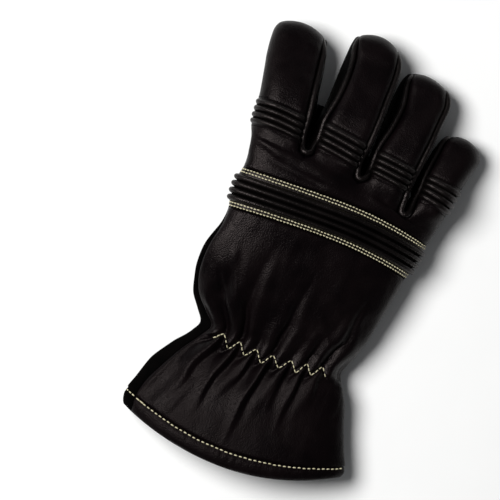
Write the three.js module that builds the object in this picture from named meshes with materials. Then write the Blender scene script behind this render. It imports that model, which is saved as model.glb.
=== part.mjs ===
import * as THREE from "three";

// Driving sizes in millimetres. Every table below holds thousandths of the first three.
const LENGTH = 338; // hem to the tip of the middle finger
const PALM_WIDTH = 146; // across the knuckle band
const HEIGHT = 66; // floor to the top of the knuckles
const WALL = 3;
const HEM_SWELL = 0.9;
const GAP = 0.3; // clear space between neighbouring pieces
const WELT_WIDTH = 1.6;
const WELT_RISE = 1.1;
const BACK_DIP = 2; // how far the skin sinks between the roots of two fingers
const PALM_DIP = 6;
const TURN_ROOM = 1.5; // how many times wider a seam is where it turns sharply
const RIB_RISE = 1.7;
const BAND_RISE = 2.1;
const GATHER_DEPTH = 3.4;
const FOLD_RISE = 1.6;

// Colour, roughness and sheen of each material
const LEATHER = { color: 0x1e1d1b, roughness: 0.55, metalness: 0 };
const SUEDE = { color: 0x121211, roughness: 0.95, metalness: 0 };

// Counts of cells and rows
const CELLS_PER_FINGER = 6;
const RIBS = 4;
const STEPS_PER_RIB = 3;
const SIDE_CELLS = 4; // from the back to the palm across a side wall
const GATHERS = 8; // puckers of the elastic across the wrist

// Rows of the hand table where one piece ends and the next begins
const HEM_ROW = 1;
const WRIST_ROW = 6;
const BAND_ROW = 13;
const BAND_END_ROW = 16;
const FRONT_ROW = 1; // row of the finger tables where the palm ends and a finger front begins

// Rows and columns of the palm where the thumb leaves it
const THUMB_LOW_ROW = 9;
const THUMB_HIGH_ROW = 12;
const THUMB_LEFT_COLUMN = 2;
const THUMB_RIGHT_COLUMN = 7;

// Shapes without a size: how square a section is, and shares of a finger's depth or width
const CUFF_SQUARENESS = 2.05; // 2 is an ellipse
const HAND_SQUARENESS = 2.6;
const FINGER_SQUARENESS = 2.2;
const SHOULDER = 1.15; // width of a finger's rounded shoulder beside its height
const BACK_SEAM_DROP = 0.2; // share of the depth from the crown of a finger to its welt
const PALM_SEAM_LIFT = 0.16;
const SIDE_FULLNESS = 0.8; // below 1 the side walls swell more squarely
const CROTCH_BOW = 0.009; // share of the length that a crotch bows forward
const FIRST_GATHER = 0.117; // where the first pucker stands across the wrist
const LEAST_MITRE = 0.62; // how far a wall is stretched where the skin turns

// Shares of the length between which the puckers rise and fade below and above the wrist
const GATHERS_BELOW = [0.09, 0.168, 0.185, 0.21];
const GATHERS_ABOVE = [0.2, 0.225, 0.25, 0.34];

function table(columns, rows) {
  return rows.map((row) => Object.fromEntries(columns.map((name, i) => [name, row[i] / 1000])));
}

// Cross-sections of the cuff and the hand from the hem to the finger crotches.
// mid, leftY and rightY place a row along the hand; left, right and seam lie across it.
const HAND_ROWS = table(["mid", "leftY", "rightY", "left", "right", "seam", "top", "bottom", "roll"], [
  [-58, -6, 6, -637, 514, -596, 636, -23, 0],
  [-23, 31, 30, -654, 521, -599, 667, -23, 0],
  [24, 65, 62, -630, 493, -582, 674, -23, 0],
  [86, 115, 114, -590, 447, -527, 652, -23, 0],
  [148, 163, 160, -515, 412, -458, 626, -23, 0],
  [198, 201, 201, -442, 361, -390, 598, -18, 15],
  [222, 222, 222, -418, 342, -363, 606, 0, 30],
  [249, 249, 249, -455, 365, -414, 652, 38, 61],
  [278, 278, 278, -499, 390, -473, 712, 91, 98],
  [314, 314, 311, -523, 412, -507, 773, 152, 136],
  [352, 352, 346, -534, 427, -517, 826, 197, 167],
  [393, 393, 382, -525, 445, -509, 864, 235, 189],
  [441, 439, 423, -490, 463, -484, 879, 258, 205],
  [490, 483, 467, -482, 479, -482, 886, 273, 212],
  [499, 493, 476, -485, 486, -485, 886, 273, 212],
  [557, 554, 533, -486, 516, -486, 882, 276, 212],
  [567, 563, 541, -482, 521, -482, 882, 277, 212],
  [602, 604, 562, -480, 532, -480, 879, 280, 212],
  [633, 639, 583, -495, 544, -495, 871, 288, 212],
]);

// Where the back and the palm fork into fingers, and the ends of those two lines
const FORK_COLUMNS = ["back", "backY", "palm", "palmY"];
const FORKS = table(FORK_COLUMNS, [
  [-209, 639, -212, 669],
  [89, 626, 82, 657],
  [349, 587, 336, 621],
]);

// Cross-sections of the fingers from the first flex rib to the tip
const FINGER_COLUMNS = [
  "leftY", "rightY", "left", "right", "backLeft", "backRight",
  "palmLeft", "palmRight", "top", "bottom", "bow", "palmShift",
];
const FINGER_ROWS = {
  index: table(FINGER_COLUMNS, [
    [661, 657, -514, -216, -514, -247, -514, -236, 970, 447, 4, 30],
    [728, 723, -529, -223, -529, -270, -529, -253, 917, 455, 4, 15],
    [775, 772, -547, -247, -547, -284, -547, -266, 848, 409, 3, 0],
    [825, 820, -568, -260, -568, -296, -568, -277, 720, 280, 1, 0],
    [858, 852, -575, -274, -575, -303, -575, -289, 629, 197, 3, 0],
    [882, 873, -573, -285, -573, -310, -573, -300, 553, 167, 7, 0],
    [893, 886, -562, -295, -562, -315, -562, -308, 485, 197, 11, 0],
    [902, 896, -541, -312, -541, -312, -541, -312, 333, 333, 12, 0],
  ]),
  middle: table(FINGER_COLUMNS, [
    [660, 645, -209, 85, -173, 57, -188, 65, 917, 364, 1, 30],
    [729, 714, -205, 90, -161, 65, -185, 63, 864, 386, 1, 15],
    [778, 769, -192, 94, -138, 72, -182, 62, 795, 371, 1, 0],
    [828, 822, -188, 96, -128, 75, -178, 58, 697, 288, 1, 0],
    [873, 867, -182, 94, -132, 77, -175, 56, 598, 197, 3, 0],
    [902, 896, -178, 84, -147, 72, -171, 59, 538, 159, 7, 0],
    [919, 914, -171, 73, -156, 64, -166, 59, 470, 182, 11, 0],
    [928, 925, -155, 55, -155, 55, -155, 55, 326, 326, 15, 0],
  ]),
  ring: table(FINGER_COLUMNS, [
    [648, 633, 96, 351, 130, 325, 108, 312, 803, 235, 1, 30],
    [710, 698, 103, 363, 140, 340, 116, 329, 735, 197, 1, 15],
    [763, 760, 106, 374, 171, 356, 129, 351, 652, 144, 1, 0],
    [817, 811, 110, 384, 185, 366, 142, 363, 545, 61, 1, 0],
    [849, 843, 118, 384, 175, 373, 147, 365, 470, 8, 2, 0],
    [870, 861, 126, 374, 166, 366, 151, 360, 424, -15, 5, 0],
    [883, 874, 140, 363, 166, 356, 156, 353, 364, 23, 8, 0],
    [890, 882, 159, 345, 159, 345, 159, 345, 182, 182, 9, 0],
  ]),
  little: table(FINGER_COLUMNS, [
    [633, 618, 358, 562, 399, 562, 371, 562, 659, 144, 1, 30],
    [698, 689, 371, 595, 411, 595, 401, 595, 568, 76, 1, 9],
    [725, 719, 382, 612, 420, 612, 418, 612, 523, 30, 1, 0],
    [749, 743, 392, 627, 429, 627, 429, 627, 477, 0, 1, 0],
    [766, 757, 404, 633, 434, 633, 437, 633, 439, -15, 2, 0],
    [780, 769, 418, 627, 441, 627, 442, 627, 394, -15, 4, 0],
    [786, 777, 434, 617, 447, 617, 447, 617, 341, 23, 7, 0],
    [789, 782, 452, 603, 452, 603, 452, 603, 167, 167, 9, 0],
  ]),
};

// Cross-sections of the thumb, which folds forward under the palm
const THUMB_ROWS = table(["left", "right", "topY", "topZ", "lowY", "lowZ", "lean", "square"], [
  [-500, -161, 448, 250, 320, 91, 167, 700],
  [-486, -147, 462, 285, 346, 23, 76, 350],
  [-466, -134, 488, 324, 393, -15, 15, 100],
  [-442, -120, 536, 348, 473, -15, 0, 0],
  [-414, -110, 601, 352, 574, -15, 0, 0],
  [-394, -100, 663, 342, 657, -15, 0, 0],
  [-380, -101, 707, 330, 707, -15, 0, 0],
  [-363, -116, 735, 306, 735, -15, 0, 0],
  [-339, -147, 751, 261, 751, 23, 0, 0],
  [-312, -182, 758, 136, 758, 136, 0, 0],
]);

// Folds of the back of the hand: a soft ridge from one point to another
const FOLDS = table(["x1", "y1", "x2", "y2", "rise", "halfWidth"], [
  [-452, 639, 82, 601, 1000, 62],
  [-137, 580, 308, 580, 500, 41],
]);

const lerp = (a, b, t) => a + (b - a) * t;
const clamp = (value, low, high) => Math.min(high, Math.max(low, value));
const smooth = (low, high, value) => {
  const t = clamp((value - low) / (high - low), 0, 1);
  return t * t * (3 - 2 * t);
};
const across = (value) => value * PALM_WIDTH;
const along = (value) => value * LENGTH;
const up = (value) => value * HEIGHT;
const keyOf = (p) => p.map((c) => Math.round(c * 1e4)).join(",");
const add = (a, b, scale = 1) => a.map((c, i) => c + scale * b[i]);
const subtract = (a, b) => add(a, b, -1);
const dot = (a, b) => a[0] * b[0] + a[1] * b[1] + a[2] * b[2];
const cross = (a, b) => [
  a[1] * b[2] - a[2] * b[1],
  a[2] * b[0] - a[0] * b[2],
  a[0] * b[1] - a[1] * b[0],
];
const lengthOf = (a) => Math.hypot(...a);
const unit = (a) => {
  const length = lengthOf(a) || 1;
  return a.map((c) => c / length);
};
const mix = (a, b, t) => a.map((c, i) => lerp(c, b[i], t));

// Points at equal steps of length along a polyline, ends included
function divide(line, cells) {
  const run = [0];
  for (let i = 1; i < line.length; i += 1) {
    run.push(run[i - 1] + Math.hypot(line[i][0] - line[i - 1][0], line[i][1] - line[i - 1][1]));
  }
  const points = [];
  let k = 1;
  for (let c = 0; c <= cells; c += 1) {
    const target = (run[run.length - 1] * c) / cells;
    while (k < run.length - 1 && run[k] < target) k += 1;
    const t = (target - run[k - 1]) / (run[k] - run[k - 1] || 1);
    points.push(mix(line[k - 1], line[k], clamp(t, 0, 1)));
  }
  return points;
}

// Upper and lower halves of one hand section, each from the left seam to the right one
function sectionHalves(row) {
  const left = across(row.left);
  const right = across(row.right);
  const centre = (left + right) / 2;
  const half = (right - left) / 2;
  const middle = up(row.top + row.bottom) / 2;
  const rise = up(row.top - row.bottom) / 2;
  const power = lerp(CUFF_SQUARENESS, HAND_SQUARENESS, smooth(0.15, 0.4, row.mid));
  const samples = 180;
  const point = (angle) => {
    const c = Math.cos(angle);
    const s = Math.sin(angle);
    const x = Math.sign(c) * Math.abs(c) ** (2 / power);
    const z = Math.sign(s) * Math.abs(s) ** (2 / power);
    return [centre + half * x, Math.max(0, middle + rise * z - up(row.roll) * x)];
  };
  const seamShare = clamp((across(row.seam) - centre) / half, -1, 0);
  const seamAngle = Math.PI - Math.acos(Math.abs(seamShare) ** (power / 2));
  const topLine = [];
  const palmLine = [];
  for (let i = 0; i <= samples; i += 1) {
    topLine.push(point(lerp(seamAngle, 0, i / samples)));
    palmLine.push(point(lerp(seamAngle, 2 * Math.PI, i / samples)));
  }
  return { topLine, palmLine };
}

// Splits a half section where it crosses the given positions, then into equal cells
function placeColumns(line, cuts) {
  const bounds = [0];
  cuts.forEach((cut) => {
    let i = line.length - 1;
    while (i > 0 && line[i - 1][0] > cut) i -= 1;
    bounds.push(i);
  });
  bounds.push(line.length - 1);
  const points = [];
  for (let b = 0; b + 1 < bounds.length; b += 1) {
    const piece = line.slice(bounds[b], bounds[b + 1] + 1);
    if (b > 0) piece[0] = cutPoint(line, cuts[b - 1], bounds[b]);
    if (b + 2 < bounds.length) piece[piece.length - 1] = cutPoint(line, cuts[b], bounds[b + 1]);
    const placed = divide(piece, CELLS_PER_FINGER);
    points.push(...(b > 0 ? placed.slice(1) : placed));
  }
  return points;
}

function cutPoint(line, cut, i) {
  const t = (cut - line[i - 1][0]) / (line[i][0] - line[i - 1][0]);
  return mix(line[i - 1], line[i], t);
}

// Position along the hand of a point of a row, bowed like the hem
function rowY(row, x) {
  const left = across(row.left);
  const right = across(row.right);
  const centre = (left + right) / 2;
  const a = (x - centre) / ((right - left) / 2);
  const end = a < 0 ? row.leftY : row.rightY;
  return along(lerp(row.mid, end, clamp(a * a, 0, 1)));
}

function forkY(column, name, row) {
  const stops = [row.leftY, ...FORKS.map((fork) => fork[name]), row.rightY];
  const place = column / CELLS_PER_FINGER;
  const k = Math.min(Math.floor(place), stops.length - 2);
  return along(lerp(stops[k], stops[k + 1], place - k));
}

// Sinks the line of the crotches where two fingers part
function dip(line, depth) {
  for (let k = 1; k <= FORKS.length; k += 1) {
    const middle = k * CELLS_PER_FINGER;
    line[middle][2] += depth;
    line[middle - 1][2] += 0.45 * depth;
    line[middle + 1][2] += 0.45 * depth;
  }
}

// Grids of the back and the palm, rows from the hem to the crotches
function handGrids() {
  const back = [];
  const palm = [];
  HAND_ROWS.forEach((row, r) => {
    const { topLine, palmLine } = sectionHalves(row);
    const last = r === HAND_ROWS.length - 1;
    const drift = smooth(0, BAND_ROW, r);
    const cutsFor = (name) => FORKS.map((fork, k) => {
      const even = lerp(row.left, row.right, (k + 1) / (FORKS.length + 1));
      return across(lerp(even, fork[name], drift));
    });
    const grid = (line, name) => placeColumns(line, cutsFor(name)).map(([x, z], i) => {
      const y = last ? forkY(i, `${name}Y`, row) : rowY(row, x);
      return [x, y, z];
    });
    back.push(grid(topLine, "back"));
    palm.push(grid(palmLine, "palm"));
    if (last) {
      dip(back[r], -BACK_DIP);
      dip(palm[r], PALM_DIP);
    }
    const end = palm[r].length - 1;
    palm[r][0] = back[r][0];
    palm[r][end] = back[r][end];
  });
  return { back, palm };
}

// One profile across a finger: rounded shoulders and a nearly flat crown
function profile(start, end, crown, bow) {
  const line = [];
  const samples = 60;
  const width = Math.abs(end[0] - start[0]);
  for (let i = 0; i <= samples; i += 1) {
    const s = i / samples;
    const edge = s < 0.5 ? start : end;
    const reach = clamp(Math.abs(crown - edge[2]) * SHOULDER, 0.1, width / 2);
    const t = clamp(1 - (Math.min(s, 1 - s) * width) / reach, 0, 1);
    const z = lerp(edge[2], crown, (1 - t ** FINGER_SQUARENESS) ** (1 / FINGER_SQUARENESS));
    line.push([lerp(start[0], end[0], s), z, s]);
  }
  const placed = divide(line, CELLS_PER_FINGER);
  placed[CELLS_PER_FINGER] = line[samples];
  return placed.map(([x, z, s]) => {
    return [x, lerp(start[1], end[1], s) + bow * (1 - (2 * s - 1) ** 2), z];
  });
}

// Grids of one finger: back, palm and its two sides, rows from the crotch to the tip
function fingerGrids(name, firstBack, firstPalm) {
  const back = [firstBack];
  const palm = [firstPalm];
  const wide = { left: [null], right: [null] };
  FINGER_ROWS[name].forEach((row) => {
    const openLeft = row.backLeft !== row.left;
    const openRight = row.backRight !== row.right;
    const top = up(row.top);
    const bottom = up(row.bottom);
    const depth = top - bottom;
    const backEnd = (isOpen, x, y) => {
      return [across(x), along(y), top - (isOpen ? BACK_SEAM_DROP : 0.5) * depth];
    };
    const palmEnd = (isOpen, x, y) => {
      const shift = isOpen ? row.palmShift : 0;
      return [across(x), along(y + shift), bottom + (isOpen ? PALM_SEAM_LIFT : 0.5) * depth];
    };
    const onFloor = (p) => [p[0], p[1], Math.max(0, p[2])];
    const bow = along(row.bow);
    back.push(profile(
      backEnd(openLeft, row.backLeft, row.leftY),
      backEnd(openRight, row.backRight, row.rightY),
      top,
      bow,
    ));
    palm.push(profile(
      palmEnd(openLeft, row.palmLeft, row.leftY),
      palmEnd(openRight, row.palmRight, row.rightY),
      bottom,
      bow,
    ).map(onFloor));
    if (!openLeft) palm[palm.length - 1][0] = back[back.length - 1][0];
    if (!openRight) palm[palm.length - 1][CELLS_PER_FINGER] = back[back.length - 1][CELLS_PER_FINGER];
    wide.left.push(across(row.left));
    wide.right.push(across(row.right));
  });
  return { back, palm, wide };
}

// Side wall between two fingers, from one tip down to the crotch and up to the next tip
function sideWall(before, after) {
  const columns = [];
  const push = (finger, r, edge, side) => {
    const b = finger.back[r][edge];
    const p = finger.palm[r][edge];
    const reach = finger.wide[side][r];
    const swell = reach === null ? 0 : reach - (b[0] + p[0]) / 2;
    const forward = reach === null ? along(CROTCH_BOW) : 0;
    const column = [];
    for (let v = 0; v <= SIDE_CELLS; v += 1) {
      const t = v / SIDE_CELLS;
      const arc = Math.sin(Math.PI * t);
      column.push([
        lerp(b[0], p[0], t) + swell * arc ** SIDE_FULLNESS,
        lerp(b[1], p[1], t) + forward * arc,
        lerp(b[2], p[2], t),
      ]);
    }
    column[0] = b;
    column[SIDE_CELLS] = p;
    columns.push(column);
  };
  for (let r = before.back.length - 1; r >= 0; r -= 1) push(before, r, CELLS_PER_FINGER, "right");
  for (let r = 1; r < after.back.length; r += 1) push(after, r, 0, "left");
  const rows = [];
  for (let v = 0; v <= SIDE_CELLS; v += 1) rows.push(columns.map((column) => column[v]));
  return rows;
}

// Rings of the thumb, starting on the rim of the opening in the palm
function thumbRings(palm) {
  const wideCells = THUMB_RIGHT_COLUMN - THUMB_LEFT_COLUMN;
  const deepCells = THUMB_HIGH_ROW - THUMB_LOW_ROW;
  const rim = [];
  for (let i = 0; i < wideCells; i += 1) rim.push(palm[THUMB_HIGH_ROW][THUMB_LEFT_COLUMN + i]);
  for (let j = 0; j < deepCells; j += 1) rim.push(palm[THUMB_HIGH_ROW - j][THUMB_RIGHT_COLUMN]);
  for (let i = 0; i < wideCells; i += 1) rim.push(palm[THUMB_LOW_ROW][THUMB_RIGHT_COLUMN - i]);
  for (let j = 0; j < deepCells; j += 1) rim.push(palm[THUMB_LOW_ROW + j][THUMB_LEFT_COLUMN]);
  const rings = [[...rim, rim[0]]];
  const count = rim.length;
  const corners = [0, wideCells, wideCells + deepCells, 2 * wideCells + deepCells, count];
  const cornerAngles = [0.75, 0.25, -0.25, -0.75, -1.25].map((turn) => turn * Math.PI);
  THUMB_ROWS.forEach((row) => {
    const ring = [];
    for (let i = 0; i < count; i += 1) {
      const k = corners.findIndex((corner) => corner > i) - 1;
      const t = (i - corners[k]) / (corners[k + 1] - corners[k]);
      const angle = lerp(cornerAngles[k], cornerAngles[k + 1], t);
      const power = lerp(2.5, 5, row.square);
      const c = Math.cos(angle);
      const s = Math.sin(angle);
      const u = Math.sign(c) * Math.abs(c) ** (2 / power);
      const w = Math.sign(s) * Math.abs(s) ** (2 / power);
      const t2 = (1 - w) / 2;
      ring.push([
        across(lerp(row.left, row.right, (1 + u) / 2)),
        along(lerp(row.topY, row.lowY, t2)),
        Math.max(0, up(lerp(row.topZ, row.lowZ, t2) + (row.lean * (1 - u)) / 2)),
      ]);
    }
    rings.push([...ring, ring[0]]);
  });
  return { rings, wideCells, deepCells };
}

// Every patch of the skin. Its cells turn outward when rows run along and columns across.
const hand = handGrids();
const patches = [];
const PLAIN = {
  inward: false,
  skip: () => false,
  rowSteps: () => 1,
  columnSteps: 1,
  relief: () => ({ outer: 0, inner: 0 }),
};
function addPatch(piece, grid, options = {}) {
  patches.push({ ...PLAIN, piece, grid, ...options });
}
const rowsOf = (grid, first, last) => grid.slice(first, last + 1);
const topRow = HAND_ROWS.length - 1;
const ribSteps = RIBS * STEPS_PER_RIB;
const tubeSteps = (r) => (r === 1 ? ribSteps : 1); // the ribs lie between a grid's rows 1 and 2

addPatch("hem_back", rowsOf(hand.back, 0, HEM_ROW), { rowSteps: () => 2, relief: hemRelief });
addPatch("hem_palm", rowsOf(hand.palm, 0, HEM_ROW), { inward: true });
addPatch("back_lower", rowsOf(hand.back, HEM_ROW, BAND_ROW), { columnSteps: 2, relief: gatherRelief });
addPatch("knuckle_band", rowsOf(hand.back, BAND_ROW, BAND_END_ROW), {
  rowSteps: tubeSteps,
  relief: bandRelief,
});
addPatch("back_upper", rowsOf(hand.back, BAND_END_ROW, topRow), { relief: foldRelief });
addPatch("palm_cuff", rowsOf(hand.palm, HEM_ROW, WRIST_ROW), { inward: true });
addPatch("palm", rowsOf(hand.palm, WRIST_ROW, topRow), {
  inward: true,
  skip: (r, c) => {
    const rowInside = r + WRIST_ROW >= THUMB_LOW_ROW && r + WRIST_ROW < THUMB_HIGH_ROW;
    return rowInside && c >= THUMB_LEFT_COLUMN && c < THUMB_RIGHT_COLUMN;
  },
});

const fingerNames = Object.keys(FINGER_ROWS);
const fingers = fingerNames.map((name, k) => {
  const first = k * CELLS_PER_FINGER;
  const slice = (grid) => grid[topRow].slice(first, first + CELLS_PER_FINGER + 1);
  return fingerGrids(name, slice(hand.back), slice(hand.palm));
});
fingers.forEach((finger, k) => {
  addPatch("back_upper", finger.back, { rowSteps: tubeSteps, relief: ribRelief });
  addPatch("palm", rowsOf(finger.palm, 0, FRONT_ROW), { inward: true });
  addPatch(`front_${fingerNames[k]}`, finger.palm.slice(FRONT_ROW), { inward: true });
});
const walls = [];
for (let k = 0; k + 1 < fingers.length; k += 1) {
  const wall = sideWall(fingers[k], fingers[k + 1]);
  walls.push(wall);
  addPatch(`fourchette_${fingerNames[k]}_${fingerNames[k + 1]}`, wall);
}

const thumb = thumbRings(hand.palm);
const ringSlice = (first, last) => thumb.rings.map((ring) => ring.slice(first, last + 1));
const ringLength = thumb.rings[0].length - 1;
const rightSeam = thumb.wideCells + 1;
const leftSeam = ringLength - 1;
addPatch("thumb_back", ringSlice(0, rightSeam));
addPatch("thumb_back", ringSlice(leftSeam, ringLength));
addPatch("thumb_front", ringSlice(rightSeam, leftSeam));

// Reliefs give the rise of the outer face and of the inner face above the plain skin
function hemRelief(point, r, c, t) {
  const lift = smooth(0, 6, point[2]);
  return { outer: HEM_SWELL * Math.sin(Math.PI * clamp(t, 0, 1)) * lift, inner: 0 };
}

function ribShape(t) {
  const step = Math.round(t * ribSteps) % STEPS_PER_RIB;
  return step === 0 ? 0 : 1;
}

function ribRelief(point, r, c, t) {
  if (r !== 1) return { outer: 0, inner: 0 };
  const side = Math.min(c, CELLS_PER_FINGER - c);
  return { outer: RIB_RISE * ribShape(t) * smooth(-0.6, 1, side), inner: 0 };
}

function bandRelief(point, r, c, t) {
  if (r !== 1) return { outer: 0, inner: 0 };
  return { outer: BAND_RISE * ribShape(t), inner: 0 };
}

function gatherRelief(point, r, c) {
  const columns = fingers.length * CELLS_PER_FINGER;
  const phase = (c / columns - FIRST_GATHER) * GATHERS * 2 * Math.PI;
  const y = point[1] / LENGTH;
  const fade = ([start, full, fall, end]) => smooth(start, full, y) * (1 - smooth(fall, end, y));
  const below = fade(GATHERS_BELOW);
  const above = fade(GATHERS_ABOVE);
  const wave = below * Math.cos(phase) - 0.8 * above * Math.cos(phase);
  const edge = smooth(0, 2, Math.min(c, columns - c));
  const rise = GATHER_DEPTH * 0.5 * wave * edge;
  return { outer: rise, inner: rise };
}

function foldRelief(point) {
  let rise = 0;
  FOLDS.forEach((fold) => {
    const a = [across(fold.x1), along(fold.y1)];
    const b = [across(fold.x2), along(fold.y2)];
    const run = [b[0] - a[0], b[1] - a[1]];
    const offset = [point[0] - a[0], point[1] - a[1]];
    const square = run[0] * run[0] + run[1] * run[1];
    const t = (offset[0] * run[0] + offset[1] * run[1]) / square;
    const away = Math.abs(offset[0] * run[1] - offset[1] * run[0]) / Math.sqrt(square);
    const ends = smooth(-0.1, 0.2, t) * (1 - smooth(0.8, 1.1, t));
    rise += FOLD_RISE * fold.rise * ends * (1 - smooth(0, across(fold.halfWidth), away));
  });
  return { outer: rise, inner: rise };
}

// Corners of one coarse cell, counterclockwise seen from outside, repeats dropped
function cellCorners(patch, r, c) {
  const g = patch.grid;
  const corners = [g[r][c], g[r][c + 1], g[r + 1][c + 1], g[r + 1][c]];
  if (patch.inward) corners.reverse();
  return corners.filter((p, i) => keyOf(p) !== keyOf(corners[(i + 3) % 4]));
}

function eachCell(patch, visit) {
  for (let r = 0; r + 1 < patch.grid.length; r += 1) {
    for (let c = 0; c + 1 < patch.grid[r].length; c += 1) {
      if (!patch.skip(r, c)) visit(r, c);
    }
  }
}

// Normals shared by all patches, so that neighbouring walls meet in a mitre
const nodes = new Map();
patches.forEach((patch) => eachCell(patch, (r, c) => {
  const corners = cellCorners(patch, r, c);
  if (corners.length < 3) return;
  const far = corners.length - 1;
  const normal = cross(
    subtract(corners[corners.length === 4 ? 2 : 1], corners[0]),
    subtract(corners[far], corners[corners.length === 4 ? 1 : 0]),
  );
  corners.forEach((p) => {
    const key = keyOf(p);
    if (!nodes.has(key)) nodes.set(key, { sum: [0, 0, 0], faces: [], seam: GAP / 2 });
    const node = nodes.get(key);
    node.sum = add(node.sum, unit(normal));
    node.faces.push(unit(normal));
  });
}));
const seamLines = [];
nodes.forEach((node) => {
  node.normal = unit(node.sum);
});
fingers.forEach((finger) => {
  [finger.back, finger.palm].forEach((grid) => {
    seamLines.push(grid.map((row) => row[0]), grid.map((row) => row[CELLS_PER_FINGER]));
  });
});
for (let pass = 0; pass < 2; pass += 1) {
  const before = new Map([...nodes].map(([key, node]) => [key, node.normal]));
  seamLines.forEach((line) => {
    const keys = line.map(keyOf);
    for (let i = 1; i + 1 < keys.length; i += 1) {
      const sum = add(add(before.get(keys[i - 1]), before.get(keys[i]), 2), before.get(keys[i + 1]));
      nodes.get(keys[i]).normal = unit(sum);
    }
  });
}
nodes.forEach((node) => {
  const least = Math.min(...node.faces.map((face) => dot(face, node.normal)));
  node.reach = WALL / clamp(least, LEAST_MITRE, 1);
});

// Seams that carry a welt leave room for it, and sharp turns leave a little more
const widen = (p, share) => {
  nodes.get(keyOf(p)).seam *= share;
};
walls.forEach((wall) => {
  wall[0].slice(1, -1).forEach((p) => {
    nodes.get(keyOf(p)).seam = WELT_WIDTH / 2 + GAP;
  });
  const fork = (wall[0].length - 1) / 2;
  for (let i = -1; i <= 1; i += 1) {
    widen(wall[0][fork + i], TURN_ROOM);
    widen(wall[SIDE_CELLS][fork + i], 2 * TURN_ROOM);
  }
});
thumb.rings.slice(1, -1).forEach((ring) => {
  widen(ring[rightSeam], TURN_ROOM);
  widen(ring[leftSeam], TURN_ROOM);
});

// Draws the rim of a piece back from its seams
function rimMoves(group) {
  const edges = new Map();
  group.forEach((patch) => eachCell(patch, (r, c) => {
    const corners = cellCorners(patch, r, c);
    if (corners.length < 3) return;
    const normal = unit(cross(subtract(corners[1], corners[0]), subtract(corners[2], corners[0])));
    corners.forEach((a, i) => {
      const b = corners[(i + 1) % corners.length];
      const back = `${keyOf(b)}|${keyOf(a)}`;
      if (edges.has(back)) edges.delete(back);
      else edges.set(`${keyOf(a)}|${keyOf(b)}`, { a, b, into: unit(cross(normal, subtract(b, a))) });
    });
  }));
  const moves = new Map();
  edges.forEach(({ a, b, into }) => {
    [a, b].forEach((p) => {
      const key = keyOf(p);
      moves.set(key, [...(moves.get(key) || []), into]);
    });
  });
  moves.forEach((list, key) => {
    const node = nodes.get(key);
    const way = unit(list.reduce((sum, into) => add(sum, into), [0, 0, 0]));
    const flat = add(way, node.normal, -dot(way, node.normal));
    const miter = clamp(dot(way, list[0]), 0.4, 1) * clamp(lengthOf(flat), 0.55, 1);
    moves.set(key, way.map((c) => (c * node.seam) / miter));
  });
  return moves;
}

// Thickens the patches of one piece into a closed body
function closedBody(piece) {
  const group = patches.filter((patch) => patch.piece === piece);
  const moves = rimMoves(group);
  const outer = [];
  const inner = [];
  const plain = [];
  const ids = new Map();
  const triangles = [];
  const idOf = (base, seamPoint, normal, reach, relief) => {
    const key = keyOf(base);
    if (!ids.has(key)) {
      ids.set(key, outer.length);
      plain.push(seamPoint);
      const rise = relief.outer;
      const lifted = add(base, unit(normal), rise);
      outer.push([lifted[0], lifted[1], Math.max(0, lifted[2])]);
      inner.push(add(add(base, unit(normal), relief.inner), unit(normal), -reach));
    }
    return ids.get(key);
  };
  const pulled = (p) => add(p, moves.get(keyOf(p)) || [0, 0, 0]);
  group.forEach((patch) => eachCell(patch, (r, c) => {
    const g = patch.grid;
    const corner = [[g[r][c], g[r][c + 1]], [g[r + 1][c], g[r + 1][c + 1]]];
    const rowSteps = patch.rowSteps(r);
    const columnSteps = patch.columnSteps;
    const at = (j, i) => {
      const v = j / rowSteps;
      const u = i / columnSteps;
      const low = (pick) => mix(pick(corner[0][0]), pick(corner[0][1]), u);
      const high = (pick) => mix(pick(corner[1][0]), pick(corner[1][1]), u);
      const blend = (pick) => mix(low(pick), high(pick), v);
      const base = blend(pulled);
      const normal = blend((p) => nodes.get(keyOf(p)).normal);
      const [reach] = blend((p) => [nodes.get(keyOf(p)).reach]);
      return idOf(base, blend((p) => p), normal, reach, patch.relief(base, r, c + u, v));
    };
    for (let j = 0; j < rowSteps; j += 1) {
      for (let i = 0; i < columnSteps; i += 1) {
        const quad = [at(j, i), at(j, i + 1), at(j + 1, i + 1), at(j + 1, i)];
        if (patch.inward) quad.reverse();
        triangles.push([quad[0], quad[1], quad[2]], [quad[0], quad[2], quad[3]]);
      }
    }
  }));
  return weldBody(outer, inner, plain, triangles);
}

// Two pieces that share a seam cut their side faces along the same diagonals
const isAhead = (p, q) => (Math.abs(p[1] - q[1]) > 1e-6 ? p[1] > q[1] : p[0] > q[0]);

function weldBody(outer, inner, plain, triangles) {
  const count = outer.length;
  const points = [...outer, ...inner];
  const faces = [];
  const edges = new Map();
  triangles.forEach(([a, b, c]) => {
    if (a === b || b === c || c === a) return;
    faces.push([a, b, c], [a + count, c + count, b + count]);
    [[a, b], [b, c], [c, a]].forEach(([p, q]) => {
      if (edges.has(`${q}|${p}`)) edges.delete(`${q}|${p}`);
      else edges.set(`${p}|${q}`, [p, q]);
    });
  });
  edges.forEach(([p, q]) => {
    if (isAhead(plain[p], plain[q])) faces.push([p, p + count, q + count], [p, q + count, q]);
    else faces.push([p, p + count, q], [q, p + count, q + count]);
  });
  return { points, faces };
}

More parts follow.
